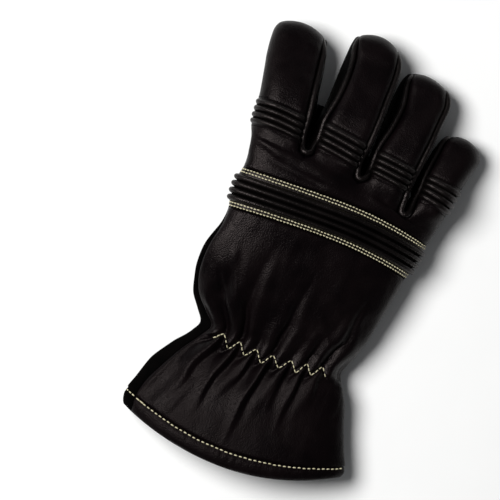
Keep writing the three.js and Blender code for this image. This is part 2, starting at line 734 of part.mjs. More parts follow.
// Piping that fills the seam between the back and a side wall
function weltBody(wall) {
  const line = wall[0].slice(1, -1);
  const half = WELT_WIDTH / 2;
  const section = [
    [-half, -0.8 * WALL], [half, -0.8 * WALL],
    [half, 0.4 * WELT_RISE], [0, WELT_RISE], [-half, 0.4 * WELT_RISE],
  ];
  const rings = line.map((p, i) => {
    const before = line[Math.max(0, i - 1)];
    const after = line[Math.min(line.length - 1, i + 1)];
    const normal = nodes.get(keyOf(p)).normal;
    const first = i > 0 ? unit(subtract(p, before)) : unit(subtract(after, p));
    const second = i + 1 < line.length ? unit(subtract(after, p)) : first;
    const side = unit(cross(normal, unit(add(first, second))));
    const turn = Math.sqrt((1 + dot(first, second)) / 2);
    return section.map(([a, b]) => add(add(p, side, a / clamp(turn, 0.5, 1)), normal, b));
  });
  const size = section.length;
  const points = rings.flat();
  const faces = [];
  for (let i = 0; i + 1 < rings.length; i += 1) {
    for (let k = 0; k < size; k += 1) {
      const a = i * size + k;
      const b = i * size + ((k + 1) % size);
      const outward = section[k][1] < section[(k + 1) % size][1];
      const ahead = isAhead(line[i], line[i + 1]);
      if (outward === ahead) faces.push([a, b, a + size], [b, b + size, a + size]);
      else faces.push([a, b, b + size], [a, b + size, a + size]);
    }
  }
  const end = (rings.length - 1) * size;
  for (let k = 1; k + 1 < size; k += 1) {
    faces.push([0, k + 1, k], [end, end + k, end + k + 1]);
  }
  return { points, faces };
}

// The finished group, standing on the floor with its box centred on the origin
const pieces = [
  ["back_upper", LEATHER],
  ["knuckle_band", LEATHER],
  ["back_lower", LEATHER],
  ["palm", SUEDE],
  ["palm_cuff", SUEDE],
  ["thumb_back", SUEDE],
  ["thumb_front", SUEDE],
  ["hem_back", LEATHER],
  ["hem_palm", SUEDE],
].map(([name, finish]) => ({ name, finish, body: closedBody(name) }));
fingerNames.forEach((name) => {
  pieces.push({ name: `front_${name}`, finish: SUEDE, body: closedBody(`front_${name}`) });
});
walls.forEach((wall, k) => {
  const pair = `${fingerNames[k]}_${fingerNames[k + 1]}`;
  pieces.push({ name: `fourchette_${pair}`, finish: LEATHER, body: closedBody(`fourchette_${pair}`) });
  pieces.push({ name: `welt_${pair}`, finish: LEATHER, body: weltBody(wall) });
});

const box = new THREE.Box3();
pieces.forEach(({ body }) => body.points.forEach((p) => box.expandByPoint(new THREE.Vector3(...p))));
const centre = box.getCenter(new THREE.Vector3());

const glove = new THREE.Group();
glove.name = "firefighter_glove";
pieces.forEach(({ name, finish, body }) => {
  const geometry = new THREE.BufferGeometry();
  const flat = body.points.flatMap((p) => [p[0] - centre.x, p[1] - centre.y, p[2] - box.min.z]);
  geometry.setAttribute("position", new THREE.Float32BufferAttribute(flat, 3));
  geometry.setIndex(body.faces.flat());
  geometry.computeVertexNormals();
  const mesh = new THREE.Mesh(geometry, new THREE.MeshStandardMaterial(finish));
  mesh.name = name;
  glove.add(mesh);
});

export default glove;
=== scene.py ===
# %% [markdown]
# # A structural firefighting glove
# A right-hand glove lies palm down. Its back is smooth grain leather with padded ribs,
# its palm and thumb are napped suede, and a gauntlet cuff flares below a gathered wrist.
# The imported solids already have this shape, but flat facets never look like leather.
# So this lesson builds the same skins again on a fine grid and dresses them.

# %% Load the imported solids
import math
import random
import bpy
import numpy as np
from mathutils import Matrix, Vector, kdtree, noise
from mathutils.bvhtree import BVHTree


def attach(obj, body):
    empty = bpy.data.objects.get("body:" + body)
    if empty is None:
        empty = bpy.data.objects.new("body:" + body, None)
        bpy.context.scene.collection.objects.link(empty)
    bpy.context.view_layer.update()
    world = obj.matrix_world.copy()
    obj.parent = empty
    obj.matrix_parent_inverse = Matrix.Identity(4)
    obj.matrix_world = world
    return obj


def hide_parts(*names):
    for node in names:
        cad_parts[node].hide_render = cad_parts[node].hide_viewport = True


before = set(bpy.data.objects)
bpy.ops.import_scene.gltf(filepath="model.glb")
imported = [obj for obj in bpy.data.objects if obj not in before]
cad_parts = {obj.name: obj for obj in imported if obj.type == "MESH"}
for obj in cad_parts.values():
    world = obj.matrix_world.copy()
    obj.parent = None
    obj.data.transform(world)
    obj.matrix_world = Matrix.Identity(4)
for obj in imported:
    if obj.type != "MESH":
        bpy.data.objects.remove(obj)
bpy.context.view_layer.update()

# %% [markdown]
# ## Sizes and tables
# A glove is cut from flat leather, but its worn shape is easiest to give as sections.
# Each table row is one section, in thousandths of the length, the width and the height.
# The same numbers shaped the solids, so the dressed glove lies where they lie.

# %% Named sizes, in metres
LENGTH = 0.338
PALM_WIDTH = 0.146
HEIGHT = 0.066
WALL = 0.0029
PLAN_CENTRE = (-0.00127, 0.14935)  # middle of the glove in the tables' own frame
CELLS = 36  # fine columns on each finger
SIDE_CELLS = 16  # fine columns from the back to the palm between two fingers
COARSE_CELLS = 6  # columns of a finger in the solids, which the tables count in
ROW_PITCH, GATHER_PITCH, RIB_PITCH = 0.0013, 0.0008, 0.0006  # between fine rows
RIBS = 4
RIB_STEPS = 24  # rows of a ribbed span come in this many, so that one lies in every valley
RIB_RISE, BAND_RISE, HEM_SWELL, FOLD_RISE = 0.0024, 0.0029, 0.0013, 0.0016
GATHER_DEPTH = 0.0062
BACK_DIP, PALM_DIP = 0.002, 0.006  # how far the skins bend towards each other at a crotch
WEB_BULGE = 0.009 * LENGTH
WELT_RADIUS = 0.0022
U_POWER, U_REACH = 2.4, 14  # how square a crotch is, and how many columns give way to it
MERGE_GRID = 2e5  # cells for each metre: points that fall in one cell are one point
HEM_ROW, WRIST_ROW, BAND_ROW, BAND_END_ROW = 1, 6, 13, 16
# The hem and the band are strips laid over the back, so they reach a little past their stitches
HEM_EDGE, BAND_LOW, BAND_HIGH = HEM_ROW + 0.09, BAND_ROW - 0.08, BAND_END_ROW + 0.2
HOLE_ROWS, HOLE_COLUMNS = (9, 12), (2, 7)
FINGER_BASE = 100  # rows of a finger are numbered from here, above those of the hand
# Rows of the stitches that edge the band, and how wide a groove each presses into it
BAND_STITCHES = ((13.02, 0.25), (13.72, 0.25), (15.68, 0.25), (16.1, 0.09))
QUILT_SHARES = (0.02, 0.98)  # where black stitches cross a finger, below and above its ribs


def table(columns, rows):
    return [{name: value / 1000 for name, value in zip(columns, row)} for row in rows]


# %% Sections of the cuff and the hand
HAND_ROWS = table(["mid", "leftY", "rightY", "left", "right", "seam", "top", "bottom", "roll"], [
    [-58, -6, 6, -637, 514, -596, 636, -23, 0],
    [-23, 31, 30, -654, 521, -599, 667, -23, 0],
    [24, 65, 62, -630, 493, -582, 674, -23, 0],
    [86, 115, 114, -590, 447, -527, 652, -23, 0],
    [148, 163, 160, -515, 412, -458, 626, -23, 0],
    [198, 201, 201, -442, 361, -390, 598, -18, 15],
    [222, 222, 222, -418, 342, -363, 606, 0, 30],
    [249, 249, 249, -455, 365, -414, 652, 38, 61],
    [278, 278, 278, -499, 390, -473, 712, 91, 98],
    [314, 314, 311, -523, 412, -507, 773, 152, 136],
    [352, 352, 346, -534, 427, -517, 826, 197, 167],
    [393, 393, 382, -525, 445, -509, 864, 235, 189],
    [441, 439, 423, -490, 463, -484, 879, 258, 205],
    [490, 483, 467, -482, 479, -482, 886, 273, 212],
    [499, 493, 476, -485, 486, -485, 886, 273, 212],
    [557, 554, 533, -486, 516, -486, 882, 276, 212],
    [567, 563, 541, -482, 521, -482, 882, 277, 212],
    [602, 604, 562, -480, 532, -480, 879, 280, 212],
    [633, 639, 583, -495, 544, -495, 871, 288, 212],
])
FORKS = table(["back", "backY", "palm", "palmY"], [
    [-209, 639, -212, 669],
    [89, 626, 82, 657],
    [349, 587, 336, 621],
])
print("hand sections:", len(HAND_ROWS), "forks:", len(FORKS))

# %% Sections of the fingers
FINGER_COLUMNS = [
    "leftY", "rightY", "left", "right", "backLeft", "backRight",
    "palmLeft", "palmRight", "top", "bottom", "bow", "palmShift",
]
FINGER_ROWS = {
    "index": table(FINGER_COLUMNS, [
        [661, 657, -514, -216, -514, -247, -514, -236, 970, 447, 4, 30],
        [728, 723, -529, -223, -529, -270, -529, -253, 917, 455, 4, 15],
        [775, 772, -547, -247, -547, -284, -547, -266, 848, 409, 3, 0],
        [825, 820, -568, -260, -568, -296, -568, -277, 720, 280, 1, 0],
        [858, 852, -575, -274, -575, -303, -575, -289, 629, 197, 3, 0],
        [882, 873, -573, -285, -573, -310, -573, -300, 553, 167, 7, 0],
        [893, 886, -562, -295, -562, -315, -562, -308, 485, 197, 11, 0],
        [902, 896, -541, -312, -541, -312, -541, -312, 333, 333, 12, 0],
    ]),
    "middle": table(FINGER_COLUMNS, [
        [660, 645, -209, 85, -173, 57, -188, 65, 917, 364, 1, 30],
        [729, 714, -205, 90, -161, 65, -185, 63, 864, 386, 1, 15],
        [778, 769, -192, 94, -138, 72, -182, 62, 795, 371, 1, 0],
        [828, 822, -188, 96, -128, 75, -178, 58, 697, 288, 1, 0],
        [873, 867, -182, 94, -132, 77, -175, 56, 598, 197, 3, 0],
        [902, 896, -178, 84, -147, 72, -171, 59, 538, 159, 7, 0],
        [919, 914, -171, 73, -156, 64, -166, 59, 470, 182, 11, 0],
        [928, 925, -155, 55, -155, 55, -155, 55, 326, 326, 15, 0],
    ]),
    "ring": table(FINGER_COLUMNS, [
        [648, 633, 96, 351, 130, 325, 108, 312, 803, 235, 1, 30],
        [710, 698, 103, 363, 140, 340, 116, 329, 735, 197, 1, 15],
        [763, 760, 106, 374, 171, 356, 129, 351, 652, 144, 1, 0],
        [817, 811, 110, 384, 185, 366, 142, 363, 545, 61, 1, 0],
        [849, 843, 118, 384, 175, 373, 147, 365, 470, 8, 2, 0],
        [870, 861, 126, 374, 166, 366, 151, 360, 424, -15, 5, 0],
        [883, 874, 140, 363, 166, 356, 156, 353, 364, 23, 8, 0],
        [890, 882, 159, 345, 159, 345, 159, 345, 182, 182, 9, 0],
    ]),
    "little": table(FINGER_COLUMNS, [
        [633, 618, 358, 562, 399, 562, 371, 562, 659, 144, 1, 30],
        [698, 689, 371, 595, 411, 595, 401, 595, 568, 76, 1, 9],
        [725, 719, 382, 612, 420, 612, 418, 612, 523, 30, 1, 0],
        [749, 743, 392, 627, 429, 627, 429, 627, 477, 0, 1, 0],
        [766, 757, 404, 633, 434, 633, 437, 633, 439, -15, 2, 0],
        [780, 769, 418, 627, 441, 627, 442, 627, 394, -15, 4, 0],
        [786, 777, 434, 617, 447, 617, 447, 617, 341, 23, 7, 0],
        [789, 782, 452, 603, 452, 603, 452, 603, 167, 167, 9, 0],
    ]),
}
FOURCHETTES = [f"fourchette_{a}_{b}" for a, b in zip(FINGER_ROWS, list(FINGER_ROWS)[1:])]
print("fingers:", ", ".join(FINGER_ROWS))

# %% Sections of the thumb
THUMB_ROWS = table(["left", "right", "topY", "topZ", "lowY", "lowZ", "lean", "square"], [
    [-500, -161, 448, 250, 320, 91, 167, 700],
    [-486, -147, 462, 285, 346, 23, 76, 350],
    [-466, -134, 488, 324, 393, -15, 15, 100],
    [-442, -120, 536, 348, 473, -15, 0, 0],
    [-414, -110, 601, 352, 574, -15, 0, 0],
    [-394, -100, 663, 342, 657, -15, 0, 0],
    [-380, -101, 707, 330, 707, -15, 0, 0],
    [-363, -116, 735, 306, 735, -15, 0, 0],
    [-339, -147, 751, 261, 751, 23, 0, 0],
    [-312, -182, 758, 136, 758, 136, 0, 0],
])
print("thumb sections:", len(THUMB_ROWS))

# %% [markdown]
# ## Small tools
# Numbers in a table sit far apart, so a smooth curve has to run through them.
# A Hermite curve with slopes taken from the neighbours keeps the skin free of kinks.
# Blender's own splines could do this too, but arrays of points are quicker to shape.


# %% Blending helpers
def smooth(low, high, value):
    t = np.clip((value - low) / (high - low), 0, 1)
    return t * t * (3 - 2 * t)


def across(value):
    return value * PALM_WIDTH - PLAN_CENTRE[0]


def along(value):
    return value * LENGTH - PLAN_CENTRE[1]


def up(value):
    return value * HEIGHT


def mix(a, b, t):
    return a + (b - a) * t


def through_rows(values, knots, places):
    """Smooth rows at the given places of a grid whose rows stand at the knots."""
    step = np.diff(knots)
    rise = np.diff(values, axis=0) / step[:, None, None]
    slope = np.empty_like(values)
    before, after = step[:-1, None, None], step[1:, None, None]
    slope[1:-1] = (rise[:-1] * after + rise[1:] * before) / (before + after)
    slope[0], slope[-1] = rise[0], rise[-1]
    k = np.clip(np.searchsorted(knots, places, side="right") - 1, 0, len(knots) - 2)
    h = step[k][:, None, None]
    t = (places - knots[k])[:, None, None] / h
    start = values[k] * (1 + 2 * t) * (1 - t) ** 2 + h * slope[k] * t * (1 - t) ** 2
    end = values[k + 1] * t * t * (3 - 2 * t) - h * slope[k + 1] * t * t * (1 - t)
    return start + end


def rounded_square(angle, power):
    """A point on a superellipse: a circle for the power 2, and squarer for a higher one."""
    c, s = np.cos(angle), np.sin(angle)
    return np.sign(c) * np.abs(c) ** (2 / power), np.sign(s) * np.abs(s) ** (2 / power)


def points_at(line, run, goal):
    """Points of a line at the wanted lengths, where run is the length up to each of its own."""
    return np.stack([np.interp(goal, run, values) for values in line.T], axis=1)


def run_along(line):
    return np.concatenate([[0], np.cumsum(np.linalg.norm(np.diff(line, axis=0), axis=1))])


def divide(line, cells):
    run = np.concatenate([[0], np.cumsum(np.hypot(*np.diff(line[:, :2], axis=0).T))])
    return points_at(line, run, np.linspace(0, run[-1], cells + 1))


print("helpers ready")

# %% [markdown]
# ## The hand and the cuff
# The back and the palm of a glove are two skins joined down both sides.
# Each section is a flattened oval, lower on the side of the little finger.
# The thumb-side seam sits on top of the cuff, as the suede wraps round its edge.


# %% One oval section
OVAL_POWERS = (2.05, 2.6)  # how square the oval is at the cuff and at the knuckles
OVAL_SAMPLES = 720


def section_halves(row):
    left, right = across(row["left"]), across(row["right"])
    centre, half = (left + right) / 2, (right - left) / 2
    middle, rise = up(row["top"] + row["bottom"]) / 2, up(row["top"] - row["bottom"]) / 2
    power = mix(*OVAL_POWERS, smooth(0.15, 0.4, row["mid"]))

    def oval(first, last):
        x, z = rounded_square(np.linspace(first, last, OVAL_SAMPLES), power)
        height = np.maximum(0, middle + rise * z - up(row["roll"]) * x)
        return np.stack([centre + half * x, height], axis=1)

    share = min(0, max(-1, (across(row["seam"]) - centre) / half))
    seam = math.pi - math.acos(abs(share) ** (power / 2))
    return oval(seam, 0), oval(seam, 2 * math.pi)


def place_columns(line, cuts):
    """Divide a section into the columns of each finger, which meet at the cuts."""
    bounds = [0.0]
    for cut in cuts:
        i = len(line) - 1
        while i > 0 and line[i - 1][0] > cut:
            i -= 1
        t = (cut - line[i - 1][0]) / (line[i][0] - line[i - 1][0])
        bounds.append(i - 1 + t)
    bounds.append(float(len(line) - 1))
    index = np.arange(len(line))
    pieces = []
    for low, high in zip(bounds, bounds[1:]):
        stops = np.concatenate([[low], index[(index > low) & (index < high)], [high]])
        part = points_at(line, index, stops)
        pieces.append(divide(part, CELLS)[0 if not pieces else 1:])
    return np.concatenate(pieces)


def row_y(row, x):
    left, right = across(row["left"]), across(row["right"])
    a = (x - (left + right) / 2) / ((right - left) / 2)
    end = np.where(a < 0, row["leftY"], row["rightY"])
    return along(mix(row["mid"], end, np.clip(a * a, 0, 1)))


def fork_y(name, row, count):
    stops = [row["leftY"]] + [fork[name] for fork in FORKS] + [row["rightY"]]
    return along(np.interp(np.arange(count) / CELLS, np.arange(len(stops)), stops))


# %% All sections of the hand
def dip_share(count):
    """How much of a dip each column takes: all at a fork, none two coarse columns away."""
    column = np.arange(count)
    from_fork = np.abs((column + CELLS / 2) % CELLS - CELLS / 2) * COARSE_CELLS / CELLS
    inner = (column > CELLS / 2) & (column < (len(FORKS) + 0.5) * CELLS)
    return np.interp(from_fork, [0, 1, 2], [1, 0.45, 0]) * inner


def hand_grids():
    grids = {"back": [], "palm": []}
    for r, row in enumerate(HAND_ROWS):
        drift = smooth(0, BAND_ROW, r)
        last = r == len(HAND_ROWS) - 1
        for name, line in zip(("back", "palm"), section_halves(row)):
            cuts = [across(mix(mix(row["left"], row["right"], (k + 1) / (len(FORKS) + 1)),
                               fork[name], drift)) for k, fork in enumerate(FORKS)]
            xz = place_columns(line, cuts)
            y = fork_y(name + "Y", row, len(xz)) if last else row_y(row, xz[:, 0])
            if last:
                xz[:, 1] += dip_share(len(xz)) * (-BACK_DIP if name == "back" else PALM_DIP)
            grids[name].append(np.stack([xz[:, 0], y, xz[:, 1]], axis=1))
    back, palm = np.array(grids["back"]), np.array(grids["palm"])
    palm[:, 0], palm[:, -1] = back[:, 0], back[:, -1]
    return back, palm


hand_back, hand_palm = hand_grids()
print("hand grid:", hand_back.shape)

# %% [markdown]
# ## The fingers
# A finger is a back strip, a palm strip and two side walls between neighbours.
# The index and the little finger have no outer side wall: back and palm meet there.
# Every strip ends on the same blunt line at the tip.


# %% One finger
SHOULDER, SHOULDER_POWER = 1.15, 2.2  # how wide and how square the edges of a strip turn down
OPEN_DROP, OPEN_LIFT, CLOSED = 0.2, 0.16, 0.5  # how far an edge turns, in shares of the depth


def profile(start, end, crown, bow):
    """One section of a strip: flat at its crown, and turned down to both of its ends."""
    s = np.linspace(0, 1, 241)
    width = abs(end[0] - start[0])
    edge = np.where(s < 0.5, start[2], end[2])
    reach = np.clip(np.abs(crown - edge) * SHOULDER, 0.0001, width / 2)
    t = np.clip(1 - np.minimum(s, 1 - s) * width / reach, 0, 1)
    z = mix(edge, crown, (1 - t ** SHOULDER_POWER) ** (1 / SHOULDER_POWER))
    x, z, s = divide(np.stack([mix(start[0], end[0], s), z, s], axis=1), CELLS).T
    y = mix(start[1], end[1], s) + bow * (1 - (2 * s - 1) ** 2)
    return np.stack([x, y, z], axis=1)


def finger_sections(rows):
    """Back and palm sections of a finger, and how far out its side walls reach."""
    back, palm, reach = [], [], []
    for row in rows:
        top, bottom, bow = up(row["top"]), up(row["bottom"]), row["bow"] * LENGTH
        back_ends, palm_ends, closed = [], [], []
        for edge, side in ((0, "left"), (-1, "right")):
            back_x, palm_x = row["back" + side.title()], row["palm" + side.title()]
            y, drop, lift, shift = row[side + "Y"], OPEN_DROP, OPEN_LIFT, row["palmShift"]
            if back_x == row[side]:
                drop, lift, shift = CLOSED, CLOSED, 0
                closed.append(edge)
            back_ends.append((across(back_x), along(y), top - drop * (top - bottom)))
            palm_ends.append((across(palm_x), along(y + shift), bottom + lift * (top - bottom)))
        back.append(profile(*back_ends, top, bow))
        palm.append(profile(*palm_ends, bottom, bow))
        palm[-1][:, 2] = np.maximum(0, palm[-1][:, 2])
        palm[-1][closed] = back[-1][closed]
        reach.append((across(row["left"]), across(row["right"])))
    return np.array(back), np.array(palm), np.array(reach)


# %% Fine rows along the hand and the fingers
def knots_of(grid):
    step = np.linalg.norm(np.diff(grid, axis=0), axis=2).mean(axis=1)
    return np.concatenate([[0], np.cumsum(np.maximum(step, 1e-4))])


def fine_places(knots, ribbed, gathered=()):
    """Places along the knots, and the row number that each stands for."""
    places, numbers = [], []
    for k in range(len(knots) - 1):
        span = knots[k + 1] - knots[k]
        count = max(1, math.ceil(span / (GATHER_PITCH if k in gathered else ROW_PITCH)))
        if k in ribbed:
            count = RIB_STEPS * math.ceil(span / (RIB_STEPS * RIB_PITCH))
        share = np.arange(count) / count
        places.append(knots[k] + share * span)
        numbers.append(k + share)
    places.append([knots[-1]])
    numbers.append([len(knots) - 1])
    return np.concatenate(places), np.concatenate(numbers)


def open_crotch(grid, numbers, edge):
    """Turn the sharp fork at one edge of a finger into one arm of a U."""
    first = int(np.searchsorted(numbers, 1))
    t = np.clip(numbers[:first + 1], 0, 1)
    arm = (1 - (1 - t) ** U_POWER) ** (1 / U_POWER)
    x = mix(grid[0, edge, 0], grid[first, edge, 0], arm) - grid[:first + 1, edge, 0]
    reach = np.clip(1 - np.arange(CELLS + 1) / U_REACH, 0, 1) ** 2
    grid[:first + 1, :, 0] += x[:, None] * (reach if edge == 0 else reach[::-1])[None]


fingers = []
for k, rows in enumerate(FINGER_ROWS.values()):
    back, palm, reach = finger_sections(rows)
    cut = slice(k * CELLS, (k + 1) * CELLS + 1)
    back = np.concatenate([hand_back[-2:, cut], back, palm[-2:-1]])
    palm_rows = np.concatenate([hand_palm[-2:, cut], palm, back[-3:-2]])
    knots = knots_of(back)
    places, numbers = fine_places(knots[1:-1], [1])
    fine_back, fine_palm = through_rows(back, knots, places), through_rows(palm_rows, knots, places)
    for edge, is_open in ((0, k > 0), (-1, k < len(FINGER_ROWS) - 1)):
        if is_open:
            open_crotch(fine_back, numbers, edge)
            open_crotch(fine_palm, numbers, edge)
    fingers.append({
        "back": fine_back,
        "palm": fine_palm,
        "rows": numbers,
        "reach": reach,
        "first": (back[2], palm_rows[2], knots[2] - knots[1]),
    })
print("finger grids:", [f["back"].shape for f in fingers])

top_row = len(HAND_ROWS) - 1
hand_knots = knots_of(hand_back)
ahead = np.mean([f["first"][2] for f in fingers])


def first_rows(which):
    joined = [fingers[0]["first"][which]]
    for finger in fingers[1:]:
        joined[-1] = joined[-1].copy()
        joined[-1][-1] = (joined[-1][-1] + finger["first"][which][0]) / 2
        joined.append(finger["first"][which][1:])
    return np.concatenate(joined)[None]


long_knots = np.append(hand_knots, hand_knots[-1] + ahead)
gathered_rows = range(WRIST_ROW - 2, WRIST_ROW + 1)
hand_places, hand_rows = fine_places(hand_knots, [BAND_ROW + 1], gathered_rows)
back_skin = through_rows(np.concatenate([hand_back, first_rows(0)]), long_knots, hand_places)
palm_skin = through_rows(np.concatenate([hand_palm, first_rows(1)]), long_knots, hand_places)
for skin in (back_skin, palm_skin):
    skin[:, :, 2] = np.maximum(skin[:, :, 2], 0)
palm_skin[:, 0], palm_skin[:, -1] = back_skin[:, 0], back_skin[:, -1]


def nearest_row(row):
    return int(np.argmin(np.abs(hand_rows - row)))


print("hand skins:", back_skin.shape)

# %% [markdown]
# ## The side walls and the thumb
# A fourchette is the strip that closes the sides of two fingers and the web between.
# It runs down one finger, round the crotch and up the next, and bulges a little.
# The thumb leaves the palm through an oval opening and folds forward underneath.


# %% Fourchettes
def side_wall(before, after):
    columns = []
    v = np.linspace(0, 1, SIDE_CELLS + 1)[:, None]
    arc = np.sin(math.pi * v)

    def add(finger, edge, side, order):
        reach_rows = np.arange(1, len(finger["reach"]) + 1)
        for j in order:
            r = finger["rows"][j]
            b, p = finger["back"][j, edge], finger["palm"][j, edge]
            reach = np.interp(r, reach_rows, finger["reach"][:, side])
            swell = (reach - (b[0] + p[0]) / 2) * smooth(0, 1, r)
            point = mix(b, p, v)
            point[:, :1] += swell * arc ** 0.8
            point[:, 1:2] += WEB_BULGE * arc * (1 - smooth(0, 1, r))
            point[0], point[-1] = b, p
            columns.append(point)

    add(before, -1, 1, range(len(before["rows"]) - 1, -1, -1))
    add(after, 0, 0, range(1, len(after["rows"])))
    return np.array(columns).transpose(1, 0, 2)


walls = [side_wall(a, b) for a, b in zip(fingers, fingers[1:])]
print("fourchettes:", [w.shape for w in walls])


# %% Thumb
THUMB_POWERS = (2.5, 5)  # how square a ring is, from the roundest to the squarest


def thumb_rings():
    """Rings from the opening in the palm to the tip, and where that opening lies."""
    scale = CELLS // COARSE_CELLS
    first, last = (nearest_row(row) for row in HOLE_ROWS)
    left, right = (c * scale for c in HOLE_COLUMNS)
    rim = np.concatenate([
        palm_skin[last, left:right], palm_skin[last:first:-1, right],
        palm_skin[first, right:left:-1], palm_skin[first:last, left],
    ])
    wide, deep = right - left, last - first
    corners = np.array([0, wide, wide + deep, 2 * wide + deep, 2 * (wide + deep)])
    turns = np.interp(np.arange(len(rim)), corners, [0.75, 0.25, -0.25, -0.75, -1.25])
    rings = [rim]
    for row in THUMB_ROWS:
        u, v = rounded_square(turns * math.pi, mix(*THUMB_POWERS, row["square"]))
        t = (1 - v) / 2
        rings.append(np.stack([
            across(mix(row["left"], row["right"], (1 + u) / 2)),
            along(mix(row["topY"], row["lowY"], t)),
            np.maximum(0, up(mix(row["topZ"], row["lowZ"], t) + row["lean"] * (1 - u) / 2)),
        ], axis=1))
    rings = np.array(rings)
    rings = np.concatenate([rings, rings[:, :1]], axis=1)
    knots = knots_of(rings)
    places, numbers = fine_places(knots, [])
    fine = through_rows(rings, knots, places)
    fine[:, :, 2] = np.maximum(fine[:, :, 2], 0)
    fine[0], fine[-1] = rings[0], rings[-1]
    return fine, numbers, wide, deep, (first, last, left, right)


thumb, thumb_rows, thumb_wide, thumb_deep, hole = thumb_rings()
print("thumb grid:", thumb.shape)

# %% [markdown]
# ## Shared normals and walls
# Leather has thickness, and two panels meet at a seam with both edges turned in.
# All skins share one normal at each seam, so their walls meet like a mitred frame.
# Solidify would be simpler, but its walls cross each other along every seam.

# %% Collect the patches
patches = []


def add_patch(piece, points, rows, inward=False, keep=None):
    patches.append({"piece": piece, "points": points, "rows": rows, "inward": inward, "keep": keep})


def row_cut(first, last):
    return slice(nearest_row(first), nearest_row(last) + 1)


hem, lower = row_cut(0, HEM_EDGE), row_cut(HEM_EDGE, BAND_LOW)
band, upper = row_cut(BAND_LOW, BAND_HIGH), row_cut(BAND_HIGH, top_row)
add_patch("hem_back", back_skin[hem], hand_rows[hem])
add_patch("hem_palm", palm_skin[hem], hand_rows[hem], inward=True)
add_patch("back_lower", back_skin[lower], hand_rows[lower])
add_patch("knuckle_band", back_skin[band], hand_rows[band])
add_patch("back_upper", back_skin[upper], hand_rows[upper])
whole = slice(lower.start, upper.stop)
keep = np.ones((whole.stop - whole.start - 1, palm_skin.shape[1] - 1), bool)
keep[hole[0] - whole.start:hole[1] - whole.start, hole[2]:hole[3]] = False
add_patch("palm", palm_skin[whole], hand_rows[whole], inward=True, keep=keep)
for finger in fingers:
    add_patch("back_upper", finger["back"], finger["rows"] + FINGER_BASE)
    add_patch("palm", finger["palm"], finger["rows"] + FINGER_BASE, inward=True)
for name, wall in zip(FOURCHETTES, walls):
    add_patch(name, wall, np.zeros(len(wall)))
ring_side = thumb_wide + thumb_deep // 3
ring_back = thumb.shape[1] - 1 - thumb_deep // 3
add_patch("thumb_back", thumb[:, :ring_side + 1], thumb_rows)
add_patch("thumb_back", thumb[:, ring_back:], thumb_rows)
add_patch("thumb_front", thumb[:, ring_side:ring_back + 1], thumb_rows)
print("patches:", len(patches))

# %% Give every point one number and one normal
everything = np.concatenate([p["points"].reshape(-1, 3) for p in patches])
cell = np.round(everything * MERGE_GRID).astype(np.int64)
_, number = np.unique(cell, axis=0, return_inverse=True)
number = number.reshape(-1)
point_of = np.zeros((number.max() + 1, 3))
point_of[number] = everything
start = 0
for patch in patches:
    rows, columns = patch["points"].shape[:2]
    patch["id"] = number[start:start + rows * columns].reshape(rows, columns)
    start += rows * columns
normals = np.zeros_like(point_of)
for patch in patches:
    p = patch["points"]
    face = np.cross(p[1:, 1:] - p[:-1, :-1], p[1:, :-1] - p[:-1, 1:])
    if patch["inward"]:
        face = -face
    face /= np.maximum(np.linalg.norm(face, axis=2, keepdims=True), 1e-12)
    if patch["keep"] is not None:
        face[~patch["keep"]] = 0
    for r, c in ((0, 0), (0, 1), (1, 0), (1, 1)):
        ids = patch["id"][r:r + face.shape[0], c:c + face.shape[1]]
        np.add.at(normals, ids.reshape(-1), face.reshape(-1, 3))
normals /= np.maximum(np.linalg.norm(normals, axis=1, keepdims=True), 1e-9)
print("points:", len(point_of))

# %% [markdown]
# ## Folds, ribs and gathers
# Elastic behind the wrist draws the leather into puckers, which fade down the cuff.
# Padded ribs protect the knuckles, and broad folds show where the hand has bent.
# Each is a small height over the plain skin, so every one can be tuned alone.

# %% Where the elastic pulls the leather in
LEG_STEPS = 8  # points on each leg of the zigzag
# Its first stitch, then every peak and the trough after it
ZIGZAG = table(["x", "y"], [
    [-330, 199],
    [-283, 216], [-238, 188],
    [-192, 212], [-151, 186],
    [-103, 209], [-58, 183],
    [-14, 209], [34, 186],
    [82, 212], [123, 189],
    [161, 217], [199, 195],
    [240, 222], [274, 201],
])
corners = np.array([(across(row["x"]), along(row["y"])) for row in ZIGZAG])
legs = np.arange(LEG_STEPS * (len(corners) - 1) + 1) / LEG_STEPS
leg = np.minimum(legs.astype(int), len(corners) - 2)
share = legs - leg
ease = share * 0.35 + (1 - np.cos(math.pi * share)) / 2 * 0.65
zigzag = np.stack([mix(corners[leg, 0], corners[leg + 1, 0], share),
                   mix(corners[leg, 1], corners[leg + 1, 1], ease)], axis=1)
# How strongly each pucker shows, and how far down and up it reaches in shares of the length
PUCKERS = table(["x", "below", "downTo", "above", "upTo"], [
    [-460, 300, 120, 200, 260],
    [-372, 600, 110, 800, 350],
    [-283, 1150, 40, 1300, 430],
    [-192, 1250, 20, 1600, 450],
    [-103, 850, 90, 500, 320],
    [-14, 1500, -20, 1500, 430],
    [82, 750, 90, 400, 300],
    [161, 1100, 50, 800, 350],
    [240, 800, 100, 1400, 410],
    [330, 600, 100, 500, 290],
])
THREAD_DENT, STREAK_DEPTH = 0.0008, 0.0003
BENDS = (0.2, 0.45)  # how far the gathers wander, in puckers, below and above the stitches
LEAF_LEVEL, LOBE_LEVEL, LOBE_SHARE = 0.35, 0.6, 0.9
# On the stitches and some way from them: where each crease lies, and how pointed each crest is
CREASE_PLACES, LEAF_POWERS, LOBE_POWERS = (0.5, 0.26), (2.4, 1.5), (0.75, 1.3)
wrist_x = back_skin[nearest_row(WRIST_ROW), :, 0]


